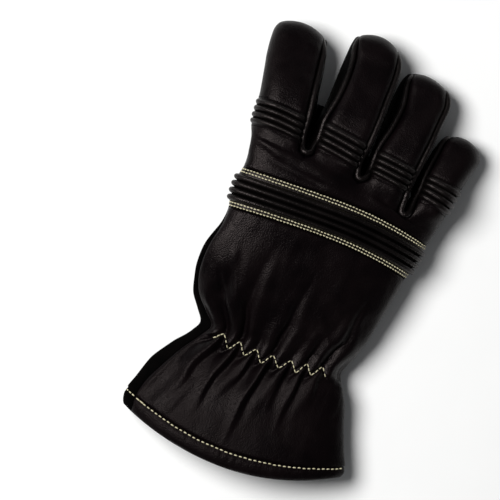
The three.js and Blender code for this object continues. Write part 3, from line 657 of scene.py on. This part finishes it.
def pucker_wave(points):
    """A leaf of leather under each peak of the stitching, and a lobe between the peaks above it."""
    stops = [across(row["x"]) for row in PUCKERS]
    place = np.interp(wrist_x, stops, np.arange(len(stops)))
    column = {key: np.interp(place, range(len(stops)), [row[key] for row in PUCKERS])[None]
              for key in ("below", "downTo", "above", "upTo")}
    y = points[:, :, 1]
    stitch = np.interp(wrist_x, zigzag[:, 0], zigzag[:, 1])[None]
    under, over = np.maximum(stitch - y, 0), np.maximum(y - stitch, 0)
    bend = mix(*BENDS, over > 0) * rumple(points, 0.028, 11.3) * smooth(0, 0.03, under + over)
    # Below the stitches a leaf rises slowly and drops steeply, so its crease lies near the peak
    crease = mix(*CREASE_PLACES, smooth(0, 0.009, under))
    off = (place[None] + bend - crease) % 1 + crease - 1
    phase = np.where(off < 0, -np.abs(off / (1 - crease)) ** 0.75, off / crease) / 2
    down = np.clip(under / (stitch - along(column["downTo"])), 0, 1)
    upward = np.clip(over / (along(column["upTo"]) - stitch), 0, 1)
    leaf = np.abs(np.cos(math.pi * phase)) ** mix(*LEAF_POWERS, smooth(0, 0.012, under))
    body = smooth(0, 0.004, under) * (1 - down) ** 1.2
    below = column["below"] * (leaf - LEAF_LEVEL) * body
    lobe = np.abs(np.sin(math.pi * off)) ** mix(*LOBE_POWERS, smooth(0, 0.02, over))
    above = column["above"] * (lobe - LOBE_LEVEL) * smooth(0, 0.003, over) * (1 - upward) ** 1.35
    gaps = [segment_gap(points, a, b) for a, b in zip(corners, corners[1:])]
    pulled = THREAD_DENT * groove(np.min(gaps, axis=0), 0, 0.0013)
    streaks = groove(under + over, 0, 0.034) * rumple(points, 0.0036, 2.1, (1, 0.2, 1))
    return GATHER_DEPTH * (below + LOBE_SHARE * above) - pulled + STREAK_DEPTH * streaks


def groove(value, place, width):
    """A soft dent of depth 1 at one place."""
    return np.exp(-((value - place) / width) ** 2)


def segment_gap(points, a, b):
    """Distance in plan from each point to the line from a to b."""
    run = b - a
    t = np.clip((points[:, :, :2] - a) @ run / (run @ run), 0, 1)
    return np.linalg.norm(points[:, :, :2] - a - t[..., None] * run, axis=2)


# %% Folds across the back of the hand
FOLDS = table(["x1", "y1", "x2", "y2", "rise", "halfWidth"], [
    [-452, 639, 82, 601, 1000, 62],
    [-137, 580, 308, 580, 500, 41],
    [-370, 606, -60, 590, -700, 30],
    [150, 604, 420, 575, 600, 35],
    [-484, 644, -304, 615, 900, 22],
    [-409, 644, -229, 633, -900, 18],
    [-377, 401, -315, 315, 700, 34],
    [-330, 325, -200, 250, 500, 26],
    [-425, 350, -300, 245, -800, 22],
    [-505, 268, -380, 232, 500, 22],
    [-515, 252, -400, 222, -600, 18],
    [130, 330, 260, 250, 400, 30],
    [-573, 46, -449, 165, 600, 22],
    [-560, 15, -425, 120, -600, 55],
    [-430, 10, -345, 100, 500, 30],
])


def folds(points):
    rise = np.zeros(points.shape[:2])
    for fold in FOLDS:
        a = np.array([across(fold["x1"]), along(fold["y1"])])
        run = np.array([across(fold["x2"]), along(fold["y2"])]) - a
        offset = points[:, :, :2] - a
        t = offset @ run / (run @ run)
        away = np.abs(offset[:, :, 0] * run[1] - offset[:, :, 1] * run[0]) / math.hypot(*run)
        ends = smooth(-0.1, 0.2, t) * (1 - smooth(0.8, 1.1, t))
        reach = fold["halfWidth"] * PALM_WIDTH
        rise += FOLD_RISE * fold["rise"] * ends * (1 - smooth(0, reach, away))
    return rise


def rumple(points, grain, seed, stretch=(1, 1, 1)):
    """Soft random waves of about one grain length, from -1 to 1."""
    scaled = points.reshape(-1, 3) / grain * np.array(stretch) + seed
    return np.array([noise.noise(p) for p in scaled]).reshape(points.shape[:2])


print("puckers:", len(PUCKERS), "folds:", len(FOLDS))

# %% Height of each piece over its plain skin
RIB_SHARE = (1 / 12, 11 / 12)
BAND_PROUD = 0.0006
HEM_DENT, BAND_DENT, QUILT_DENT = 0.0007, 0.00035, 0.0005
BROAD_WAVE, SHORT_WAVE, FINE_WAVE, HEM_PINCH, WRINKLE = 0.0005, 0.00022, 0.00022, 0.0004, 0.0007


def rib_place(piece, rows):
    """Where each row lies in the ribbed span of its piece, from 0 to 1, or None without ribs."""
    if piece == "knuckle_band":
        return rows - (BAND_ROW + 1)
    if piece == "back_upper":
        return (rows - FINGER_BASE - 1 - RIB_SHARE[0]) / (RIB_SHARE[1] - RIB_SHARE[0])
    return None


def rib_row(t):
    """Rounded tubes side by side, with a sharp crease between them."""
    crown = np.abs(np.sin(math.pi * np.clip(t, 0, 1) * RIBS))
    return (crown ** 0.6 - 0.4 * groove(crown, 0, 0.3)) * ((t > 0) & (t < 1))


def relief(patch):
    piece, points, rows = patch["piece"], patch["points"], patch["rows"][:, None]
    columns = np.linspace(0, 1, points.shape[1])[None]
    side = np.minimum(columns, 1 - columns)
    rough = BROAD_WAVE * rumple(points, 0.03, 3.1) + SHORT_WAVE * rumple(points, 0.011, 7.7)
    if piece.startswith("hem"):
        swell = np.sin(math.pi * np.clip(rows / HEM_ROW, 0, 1)) ** 0.7
        lift = smooth(0, 0.006, points[:, :, 2])
        pinch = HEM_PINCH * rumple(points, 0.003, 4.4, (1, 0.25, 1)) * smooth(0.1, 0.8, rows)
        dent = HEM_DENT * groove(rows, HEM_ROW, 0.12)
        return (HEM_SWELL * swell - dent + pinch) * lift + 0.5 * rough
    if piece == "back_lower":
        grown = smooth(0.13, 0.19, rows / BAND_ROW)
        fine = FINE_WAVE * rumple(points, 0.006, 1.3, (1, 0.35, 1)) * grown
        return pucker_wave(points) * smooth(0, 0.06, side) + folds(points) + 1.4 * rough + fine
    if piece == "knuckle_band":
        dents = sum(groove(rows, place, width) for place, width in BAND_STITCHES)
        tubes = rib_row(rib_place(piece, rows))
        return BAND_PROUD + BAND_RISE * tubes - BAND_DENT * dents + 0.4 * rough
    if piece == "back_upper" and patch["rows"][0] >= FINGER_BASE:
        t = rows - FINGER_BASE - 1
        tubes = rib_row(rib_place(piece, rows)) * smooth(-0.01, 0.15, side)
        dents = sum(groove(t, place, 0.03) for place in QUILT_SHARES)
        calm = smooth(0, 0.6, np.abs(t - 0.5))
        return RIB_RISE * tubes - QUILT_DENT * dents + rough * (0.4 + 0.8 * calm)
    if piece == "back_upper":
        wrinkles = WRINKLE * rumple(points, 0.013, 5.2, (0.45, 1.5, 1))
        near = smooth(0, 0.004, points[:, :, 1] - points[:1, :, 1])
        return folds(points) + rough + wrinkles * near
    return (0.7 if piece.startswith("fourchette") else 1.3) * rough


print("band from row", BAND_LOW, "to", BAND_HIGH)

# %% [markdown]
# ## From skins to leather
# Each piece now gets its outer face, its inner face and a rim that joins them.
# Near a seam the outer face rolls down, as a turned seam does, and leaves a groove.
# The rim of the cuff rolls over fully, because the hem there is folded double.

# %% Seams and the mouth of the cuff
WELTED_ROLL, WELTED_REACH = 0.0021, 0.003
PLAIN_ROLL, PLAIN_REACH = 0.0009, 0.0022
LIP_REACH, CALM_REACH = 0.0026, 0.0035
LINING_CLEAR = 0.0004  # how far the inner faces stay above the floor
owners = {}
for patch in patches:
    for point in np.unique(patch["id"]):
        owners.setdefault(int(point), set()).add(patch["piece"])
mouth = np.unique(np.concatenate([p["id"][0] for p in patches if p["piece"].startswith("hem")]))
print("points on a seam:", sum(len(o) > 1 for o in owners.values()), "on the mouth:", len(mouth))


def quarter_round(distance, reach):
    t = 1 - np.clip(distance / reach, 0, 1)
    return 1 - np.sqrt(1 - t * t)


def gap_to(points, chosen):
    """Distance from every point to the nearest chosen one."""
    if not len(chosen):
        return np.ones(len(points))
    tree = kdtree.KDTree(len(chosen))
    for k, point in enumerate(chosen):
        tree.insert(point, k)
    tree.balance()
    return np.array([tree.find(point)[2] for point in points])


# %% Build one thick piece
def into_scene(name, data):
    thing = bpy.data.objects.new(name, data)
    bpy.context.scene.collection.objects.link(thing)
    return thing


def mesh_piece(name, points, faces, material):
    mesh = bpy.data.meshes.new(name)
    mesh.from_pydata(points, [], faces)
    mesh.polygons.foreach_set("use_smooth", [True] * len(mesh.polygons))
    mesh.materials.append(material)
    return into_scene(name, mesh)


def thick_faces(group, local, count):
    """Quads of the outer face, the same ones turned round for the inner face, and the rim."""
    quads = []
    for patch in group:
        ids = local[patch["id"]]
        cells = np.stack([ids[:-1, :-1], ids[:-1, 1:], ids[1:, 1:], ids[1:, :-1]], axis=2)
        cells = cells[patch["keep"]] if patch["keep"] is not None else cells.reshape(-1, 4)
        quads.append(cells[:, ::-1] if patch["inward"] else cells)
    quads = np.concatenate(quads)
    ahead = np.roll(quads, -1, axis=1)
    edges = np.stack([quads, ahead], axis=2).reshape(-1, 2)
    edges = edges[edges[:, 0] != edges[:, 1]]
    codes = edges.min(axis=1) * count + edges.max(axis=1)
    _, first, times = np.unique(codes, return_index=True, return_counts=True)
    rim = edges[first[times == 1]]
    outer = [[v for v, w in zip(q, q[1:] + q[:1]) if v != w] for q in quads.tolist()]
    outer = [face for face in outer if len(set(face)) == len(face) > 2]
    inner = [[v + count for v in reversed(face)] for face in outer]
    sides = [[q, p, p + count, q + count] for p, q in rim.tolist()]
    return outer + inner + sides


# %% Roll its seams, and crease its valleys
def thick_points(group, members, local):
    """Outer points with their relief and rolled seams, then the inner ones a wall below."""
    height, times = np.zeros(len(members)), np.zeros(len(members))
    for patch in group:
        np.add.at(height, local[patch["id"]].reshape(-1), relief(patch).reshape(-1))
        np.add.at(times, local[patch["id"]].reshape(-1), 1)
    height /= times
    points, out = point_of[members], normals[members]
    shared = [owners[int(point)] for point in members]
    welted = np.array([any(o.startswith("fourchette") for o in s) and len(s) > 1 for s in shared])
    plain = np.array([len(s) > 1 for s in shared]) & ~welted
    to_welt, to_plain = gap_to(points, points[welted]), gap_to(points, points[plain])
    lip = quarter_round(gap_to(points, point_of[mouth]), LIP_REACH) * WALL / 2
    depth = np.maximum(quarter_round(to_welt, WELTED_REACH) * WELTED_ROLL,
                       quarter_round(to_plain, PLAIN_REACH) * PLAIN_ROLL)
    calm = smooth(0, CALM_REACH, np.minimum(to_welt, to_plain))
    outer = points + out * (height * calm - np.maximum(depth, lip))[:, None]
    inner = points - out * (WALL - lip)[:, None]
    outer[:, 2] = np.maximum(outer[:, 2], 0)
    inner[:, 2] = np.maximum(inner[:, 2], LINING_CLEAR)
    return np.concatenate([outer, inner]).tolist()


def crease_valleys(mesh, group, local, count):
    """Make the edges along the valleys sharp, and return which points lie on ribs."""
    on_rib, in_valley = np.zeros(2 * count, bool), np.zeros(2 * count, bool)
    for patch in group:
        t = rib_place(patch["piece"], patch["rows"])
        if t is not None:
            ribbed = (t >= 0) & (t < 1.001)
            valley = ribbed & (np.abs(t * RIBS - np.round(t * RIBS)) < 0.01)
            on_rib[local[patch["id"][ribbed]]] = True
            in_valley[local[patch["id"][valley]]] = True
    ends = np.array([edge.vertices[:] for edge in mesh.edges])
    mesh.edges.foreach_set("use_edge_sharp", in_valley[ends].all(axis=1))
    return on_rib


def make_piece(name, material, title):
    group = [patch for patch in patches if patch["piece"] == name]
    members = np.unique(np.concatenate([patch["id"].reshape(-1) for patch in group]))
    count = len(members)
    local = np.full(len(point_of), -1)
    local[members] = np.arange(count)
    faces = thick_faces(group, local, count)
    piece = mesh_piece(title, thick_points(group, members, local), faces, material)
    mesh = piece.data
    on_rib = crease_valleys(mesh, group, local, count)
    if name == "back_upper":
        mesh.materials.append(rib_leather)
        finish = [int(all(on_rib[v] for v in face.vertices)) for face in mesh.polygons]
        mesh.polygons.foreach_set("material_index", finish)
    if name == "back_lower":
        mesh.materials.append(cuff_leather)
        middles = np.array([face.center for face in mesh.polygons])
        finish = middles[:, 1] < np.interp(middles[:, 0], zigzag[:, 0], zigzag[:, 1])
        mesh.polygons.foreach_set("material_index", finish.astype(int))
    return piece


print("piece builder ready")

# %% [markdown]
# ## Materials
# Fire gloves use two hides: smooth grain leather on the back, and suede where they grip.
# Grain has pores and fine creases that catch light, so it gets a cellular bump.
# Suede is the raised flesh side, so it is matt, mottled and edged with soft fuzz.

# %% Colour and node helpers
def linear(hex_colour):
    """Turn an sRGB hex colour such as #CFC9A5 into Blender's linear numbers."""
    parts = [int(hex_colour[i:i + 2], 16) / 255 for i in (1, 3, 5)]
    return [c / 12.92 if c <= 0.04045 else ((c + 0.055) / 1.055) ** 2.4 for c in parts] + [1]


def add_node(tree, kind, settings=None, links=None):
    """Add a node, set its values, and link its inputs to other nodes' outputs."""
    node = tree.nodes.new(kind)
    for name, value in (settings or {}).items():
        if hasattr(node, name):
            setattr(node, name, value)
        else:
            node.inputs[name].default_value = value
    for name, output in (links or {}).items():
        tree.links.new(output, node.inputs[name])
    return node


MILLIMETRE = 0.001


def new_material(name):
    """A new material, its empty node tree, and the place on the piece that its textures use."""
    material = bpy.data.materials.new(name)
    material.use_nodes = True
    tree = material.node_tree
    tree.nodes.clear()
    return material, tree, add_node(tree, "ShaderNodeTexCoord").outputs["Object"]


def clouds(tree, place, size_mm, detail, roughness=0.5, distortion=0.0):
    """Soft noise whose blobs are about this many millimetres wide."""
    return add_node(tree, "ShaderNodeTexNoise", {
        "Scale": 1 / (size_mm * MILLIMETRE), "Detail": detail,
        "Roughness": roughness, "Distortion": distortion,
    }, {"Vector": place}).outputs["Fac"]


def two_tones(tree, mask, dark, light, stops=(0, 1)):
    ramp = add_node(tree, "ShaderNodeValToRGB", links={"Fac": mask})
    for element, stop, tone in zip(ramp.color_ramp.elements, stops, (dark, light)):
        element.position, element.color = stop, linear(tone)
    return ramp.outputs["Color"]


def bump(tree, height, strength, depth_mm, invert=False, over=None):
    """A bump of this depth in millimetres, laid over another one when there is one."""
    links = {"Height": height}
    if over is not None:
        links["Normal"] = over
    return add_node(tree, "ShaderNodeBump", {
        "Strength": strength, "Distance": depth_mm * MILLIMETRE, "invert": invert,
    }, links).outputs["Normal"]


def show_surface(tree, settings, links):
    surface = add_node(tree, "ShaderNodeBsdfPrincipled", settings, links)
    add_node(tree, "ShaderNodeOutputMaterial", links={"Surface": surface.outputs["BSDF"]})


print("cream thread in linear colour:", [round(c, 3) for c in linear("#CFC9A5")])


# %% Smooth grain leather, dyed through and lightly waxed
def grain_leather(name, dark, light, roughness, shine):
    material, tree, place = new_material(name)
    dye = clouds(tree, place, 22, 3.0)
    wear = add_node(tree, "ShaderNodeMapRange", {
        "From Min": 0.3, "From Max": 0.7, "To Min": roughness - 0.05, "To Max": roughness + 0.07,
    }, {"Value": dye})
    # Pores stand a little under a millimetre apart, with soft creases between groups of them
    pores = add_node(tree, "ShaderNodeTexVoronoi", {
        "feature": "SMOOTH_F1", "Scale": 1 / (0.9 * MILLIMETRE),
        "Smoothness": 0.35, "Randomness": 0.95,
    }, {"Vector": place})
    slack = bump(tree, clouds(tree, place, 9, 2.0), 0.2, 0.8)
    creases = bump(tree, clouds(tree, place, 2.4, 4.0, 0.62, 0.8), 0.34, 0.4, over=slack)
    grain = bump(tree, pores.outputs["Distance"], 0.7, 0.3, invert=True, over=creases)
    show_surface(tree, {
        "IOR": 1.48, "Specular IOR Level": shine, "Specular Tint": linear("#FFEFEC"),
    }, {
        "Base Color": two_tones(tree, dye, dark, light, (0.34, 0.68)),
        "Roughness": wear.outputs["Result"],
        "Normal": grain,
    })
    return material


back_leather = grain_leather("black_grain_leather", "#040203", "#090506", 0.35, 0.1)
# Painted shade: the side walls between the fingers are the same hide, given a darker, duller copy
# of it to stand for the shade in the gaps
shaded_strip_leather = grain_leather("black_fourchette_leather", "#020202", "#040303", 0.48, 0.022)
# The cuff rubs on sleeves and tables, so its wax has gone duller than on the hand
cuff_leather = grain_leather("black_rubbed_leather", "#040203", "#090506", 0.4, 0.066)
# Stretched over the cords of the ribs, the same hide is smoother and shinier
rib_leather = grain_leather("black_stretched_leather", "#030202", "#070505", 0.36, 0.23)
print("leathers:", back_leather.name, cuff_leather.name, shaded_strip_leather.name, rib_leather.name)


# %% Napped suede
def suede_leather(name, dark, light):
    material, tree, place = new_material(name)
    brushed = clouds(tree, place, 14, 5.0, 0.6, 0.6)
    # The nap itself is about a tenth of a millimetre, drawn coarser so that it shows
    nap = bump(tree, clouds(tree, place, 0.9, 4.0, 0.7), 0.55, 0.4)
    show_surface(tree, {
        "Roughness": 0.95, "IOR": 1.45, "Specular IOR Level": 0.012,
        "Sheen Weight": 0.006, "Sheen Roughness": 0.6, "Sheen Tint": linear("#8A8680"),
    }, {"Base Color": two_tones(tree, brushed, dark, light, (0.36, 0.66)), "Normal": nap})
    return material


palm_suede = suede_leather("black_suede", "#020202", "#050404")
print("suede:", palm_suede.name)


# %% Aramid sewing thread
def sewing_thread(name, dark, light, shine):
    material, tree, place = new_material(name)
    worn = clouds(tree, place, 5, 2.0)
    # The plies of the twisted thread repeat every half millimetre
    plies = bump(tree, clouds(tree, place, 0.5, 2.0), 0.5, 0.2)
    show_surface(tree, {"Roughness": 0.7, "IOR": 1.5, "Specular IOR Level": shine},
                 {"Base Color": two_tones(tree, worn, dark, light), "Normal": plies})
    return material


cream_thread = sewing_thread("cream_aramid_thread", "#A9A27F", "#DDD6B6", 0.4)
black_thread = sewing_thread("black_aramid_thread", "#020202", "#050505", 0.03)
print("threads:", cream_thread.name, black_thread.name)

# %% [markdown]
# ## Put the pieces in the frame
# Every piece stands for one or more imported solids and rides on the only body, the glove.
# The palm is cut from one hide, so one skin covers the solids of palm, cuff and fingers.

# %% Back, palm, thumb and hem
PALM_HIDE = ["palm", "palm_cuff"] + [f"front_{name}" for name in FINGER_ROWS]
STANDS_FOR = {
    "back_upper": (back_leather, "leather", ["back_upper"]),
    "knuckle_band": (rib_leather, "leather", ["knuckle_band"]),
    "back_lower": (back_leather, "leather", ["back_lower"]),
    "palm": (palm_suede, "suede", PALM_HIDE),
    "thumb_back": (palm_suede, "suede", ["thumb_back"]),
    "thumb_front": (palm_suede, "suede", ["thumb_front"]),
    "hem_back": (cuff_leather, "leather", ["hem_back"]),
    "hem_palm": (palm_suede, "suede", ["hem_palm"]),
}
# The fourchettes wear the darker copy of the leather, which paints the shade between the fingers
for name in FOURCHETTES:
    STANDS_FOR[name] = (shaded_strip_leather, "leather", [name])

skins = {}
for name, (material, finish, stood_for) in STANDS_FOR.items():
    skins[name] = make_piece(name, material, f"{name}_{finish}")
    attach(skins[name], "root")
    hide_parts(*stood_for)
    print(name, len(skins[name].data.polygons), "faces")

# %% [markdown]
# ## Welts
# A welt is a thin cord wrapped in leather and caught in the seam along each finger.
# It stands proud of both skins and runs round the crotch in one piece.
# A curve with a bevel would do, but a swept tube can taper where it enters the tip.

# %% Sweep one tube along a seam
CORD_STEP, CORD_SIDES, CORD_SMOOTHINGS = 0.001, 12, 10
CORD_PROUD, CORD_SUNK, CORD_INWARD = 0.0024, 0.0008, 0.35 * WELT_RADIUS


def tube_faces(first, rings, sides):
    """Faces of a closed tube, whose rings of points follow each other from the first point."""
    faces = []
    for k in range(rings - 1):
        for j in range(sides):
            a, b = first + k * sides + j, first + k * sides + (j + 1) % sides
            faces.append([a, b, b + sides, a + sides])
    faces.append([first + j for j in reversed(range(sides))])
    faces.append([first + (rings - 1) * sides + j for j in range(sides)])
    return faces


def unit(vectors):
    return vectors / np.maximum(np.linalg.norm(vectors, axis=1, keepdims=True), 1e-9)


def swept_tube(name, path, out, radius, material):
    ahead = unit(np.gradient(path, axis=0))
    side = unit(np.cross(ahead, out))
    lift = np.cross(side, ahead)
    turn = np.linspace(0, 2 * math.pi, CORD_SIDES, endpoint=False)[None, :, None]
    ring = np.cos(turn) * side[:, None] + np.sin(turn) * lift[:, None]
    points = (path[:, None] + radius[:, None, None] * ring).reshape(-1, 3)
    faces = [face[:1] + face[:0:-1] for face in tube_faces(0, len(path), CORD_SIDES)]
    return mesh_piece(name, points.tolist(), faces, material)


def even_path(points, out):
    """The same line with even steps, smoothed so that it turns softly."""
    run = run_along(points)
    goal = np.linspace(0, run[-1], int(run[-1] / CORD_STEP))
    both = points_at(np.hstack([points, out]), run, goal)
    for _ in range(CORD_SMOOTHINGS):
        both[1:-1] = both[1:-1] / 2 + (both[:-2] + both[2:]) / 4
    return both[:, :3], both[:, 3:]


for patch in [p for p in patches if p["piece"].startswith("fourchette")]:
    seam = patch["points"][0, 2:-2]
    inward = unit((patch["points"][2] - patch["points"][0])[2:-2])
    _, inward = even_path(seam, inward)
    path, out = even_path(seam, normals[patch["id"][0, 2:-2]])
    share = np.linspace(0, 1, len(path))
    to_end = np.minimum(share, 1 - share)
    # The cord stands proud along the finger, and thins and dives into the seam at the fingertips
    radius = WELT_RADIUS * np.sqrt(smooth(0, 0.06, to_end) + 0.02)
    proud = CORD_PROUD * smooth(0, 0.09, to_end) - CORD_SUNK
    path = path + inward * CORD_INWARD + out * proud[:, None]
    name = patch["piece"].replace("fourchette", "welt")
    welt = swept_tube(name + "_cord", path, out, radius, rib_leather)
    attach(welt, "root")
    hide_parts(name)
    print(name, round(float(run_along(path)[-1]) * 1000), "mm long")

# %% [markdown]
# ## Stitches
# Cream aramid thread holds the hem, the elastic and both edges of the knuckle band.
# Black thread quilts the finger ribs, so it shows only as a row of small dents.
# Each stitch is a short bent bead laid on the leather, as a photograph shows it.

# %% Find the leather under a stitch
def tree_over(pieces):
    points, faces = [], []
    for piece in pieces:
        first = len(points)
        points += [v.co.copy() for v in piece.data.vertices]
        faces += [[first + v for v in p.vertices] for p in piece.data.polygons]
    return BVHTree.FromPolygons(points, faces)


leather_tree = tree_over(skins.values())
# At what height the rays that look for the leather start, and which way they go
FROM_ABOVE, FROM_BELOW = (0.15, Vector((0, 0, -1))), (-0.02, Vector((0, 0, 1)))


def stitch_frame(ends, side_from, longest):
    """Middle and three directions of the stitch between two points, or None off the leather."""
    height, way = side_from
    hits = [leather_tree.ray_cast(Vector((end[0], end[1], height)), way) for end in ends]
    if any(hit[0] is None for hit in hits) or (hits[0][0] - hits[1][0]).length > longest:
        return None
    ahead = (hits[1][0] - hits[0][0]).normalized()
    side = ahead.cross((hits[0][1] + hits[1][1]).normalized()).normalized()
    return (hits[0][0] + hits[1][0]) / 2, ahead, side, side.cross(ahead).normalized()


# %% Lay one group of stitches
BEAD_RINGS, BEAD_SIDES = 7, 6
LONGEST = 2.5  # pitches: a stitch that would span more hangs over an edge, and is left out
BEAD_LIFT, BEAD_BEND = 0.75, 1.1  # in thread radii, at its middle and from there to its ends
UNEVEN_LENGTH, UNEVEN_PLACE = (0.93, 1.05), (-0.05, 0.05)


def lay_stitches(name, rows, material, side_from=FROM_ABOVE):
    """Rows of bent beads, each row a line with its pitch, thread radius and filled share."""
    points, faces = [], []
    rng = random.Random(len(rows))
    for line, pitch, radius, fill in rows:
        run = run_along(line)
        count = max(1, round(run[-1] / pitch))
        stops = points_at(line, run, np.linspace(0, run[-1], count + 1))
        for ends in zip(stops, stops[1:]):
            placed = stitch_frame(ends, side_from, LONGEST * pitch)
            if placed is None:
                continue
            middle, ahead, side, out = placed
            half = fill * pitch / 2 * rng.uniform(*UNEVEN_LENGTH)
            middle = middle + side * rng.uniform(*UNEVEN_PLACE) * pitch
            faces += tube_faces(len(points), BEAD_RINGS, BEAD_SIDES)
            for u in np.linspace(-1, 1, BEAD_RINGS).tolist():
                thick = radius * math.sqrt(max(0.06, 1 - u ** 4))
                height = radius * (BEAD_LIFT - BEAD_BEND * u * u)
                centre = middle + ahead * (u * half) + out * height
                for j in range(BEAD_SIDES):
                    turn = 2 * math.pi * j / BEAD_SIDES
                    points.append(centre + side * (thick * math.cos(turn))
                                  + out * (thick * math.sin(turn)))
    points = [(p.x, p.y, max(p.z, 0.0001)) for p in points]
    piece = mesh_piece(name, points, faces, material)
    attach(piece, "root")
    print(name, len(points) // (BEAD_RINGS * BEAD_SIDES), "stitches")


# %% Lay the rows
def line_at(grid, rows, place):
    """A line across a grid at a fractional row of the tables."""
    j = min(int(np.searchsorted(rows, place, side="right")) - 1, len(rows) - 2)
    return mix(grid[j], grid[j + 1], (place - rows[j]) / (rows[j + 1] - rows[j]))


def hand_line(skin, place, inset):
    line = line_at(skin, hand_rows, place)
    return line[inset:len(line) - inset]


# Pitch of the stitches, half the thickness of the thread, and how much of the pitch shows
HEM, BAND = (0.0037, 0.0005, 0.72), (0.0026, 0.00045, 0.84)
ELASTIC, QUILT = (0.0036, 0.0004, 0.84), (0.0021, 0.0003, 0.7)
wrapped = hand_line(palm_skin, HEM_ROW, 0)
cream_rows = [
    (hand_line(back_skin, HEM_ROW, 1), *HEM),
    (wrapped[:int(np.argmin(wrapped[:, 0])) + 1], *HEM),
    # The hem is sewn back over itself where it starts, so a few stitches lie doubled there
    (hand_line(back_skin, HEM_ROW, 2)[:8], *HEM),
]
cream_rows += [(hand_line(back_skin, place, 1), *BAND) for place, _ in BAND_STITCHES]
leg_starts = range(0, len(zigzag) - 1, LEG_STEPS)
cream_rows += [(zigzag[k:k + LEG_STEPS + 1], *ELASTIC) for k in leg_starts]
lay_stitches("cream_stitches", cream_rows, cream_thread)
lay_stitches("hem_stitches_palm", [(hand_line(palm_skin, HEM_ROW, 12), *HEM)],
             cream_thread, FROM_BELOW)
quilt_rows = [(line_at(f["back"], f["rows"], 1 + t)[2:-2], *QUILT)
              for f in fingers for t in QUILT_SHARES]
lay_stitches("quilting_stitches", quilt_rows, black_thread)

# %% [markdown]
# ## Stage, light and camera
# The photograph looks straight down on the glove, so the floor is the background.
# One large soft light hangs above and to the left, so ridges shine and valleys stay dark.
# A long lens keeps the fingertips and the cuff at one scale, as the photograph does.

# %% Floor
FLOOR_HALF = 3.0
floor_paint, floor_tree, floor_place = new_material("white_table_laminate")
floor_colour = two_tones(floor_tree, clouds(floor_tree, floor_place, 60, 2.0), "#F4F4F3", "#F8F8F7")
show_surface(floor_tree, {"Roughness": 0.8, "Specular IOR Level": 0.2},
             {"Base Color": floor_colour})
corner_signs = ((-1, -1), (1, -1), (1, 1), (-1, 1))
floor_corners = [(x * FLOOR_HALF, y * FLOOR_HALF, 0) for x, y in corner_signs]
floor = mesh_piece("floor", floor_corners, [(0, 1, 2, 3)], floor_paint)
print("floor:", 2 * FLOOR_HALF, "m")


# %% Lights
def soft_light(name, place, target, size, power):
    data = bpy.data.lights.new(name, "AREA")
    data.shape, data.size, data.energy = "DISK", size, power
    light = into_scene(name, data)
    light.location = place
    light.rotation_euler = (Vector(target) - Vector(place)).to_track_quat("-Z", "Y").to_euler()


soft_light("window", (-1.0, 0.1, 1.8), (0, 0, 0), 1.15, 53)
world = bpy.data.worlds.new("pale_room")
world.use_nodes = True
background = world.node_tree.nodes["Background"]
background.inputs["Color"].default_value = linear("#F2F4F7")
background.inputs["Strength"].default_value = 0.13
bpy.context.scene.world = world
bpy.context.scene.view_settings.view_transform = "Standard"

# %% Camera
VIEW_TURN = math.radians(20)  # how far the glove is turned in the photograph
VIEW_WIDTH = 0.3665  # what the square photograph spans at the height of the hand
VIEW_HEIGHT, VIEW_MIDDLE = 4.0, 0.045
AIM = (-0.0446 - PLAN_CENTRE[0], 0.1374 - PLAN_CENTRE[1])
camera_data = bpy.data.cameras.new("camera")
camera_data.sensor_width = 36
camera_data.lens = camera_data.sensor_width * VIEW_HEIGHT / VIEW_WIDTH
camera = into_scene("camera", camera_data)
camera.location = (AIM[0], AIM[1], VIEW_MIDDLE + VIEW_HEIGHT)
camera.rotation_euler = (0, 0, VIEW_TURN)
bpy.context.scene.camera = camera
print("lens:", round(camera_data.lens), "mm")
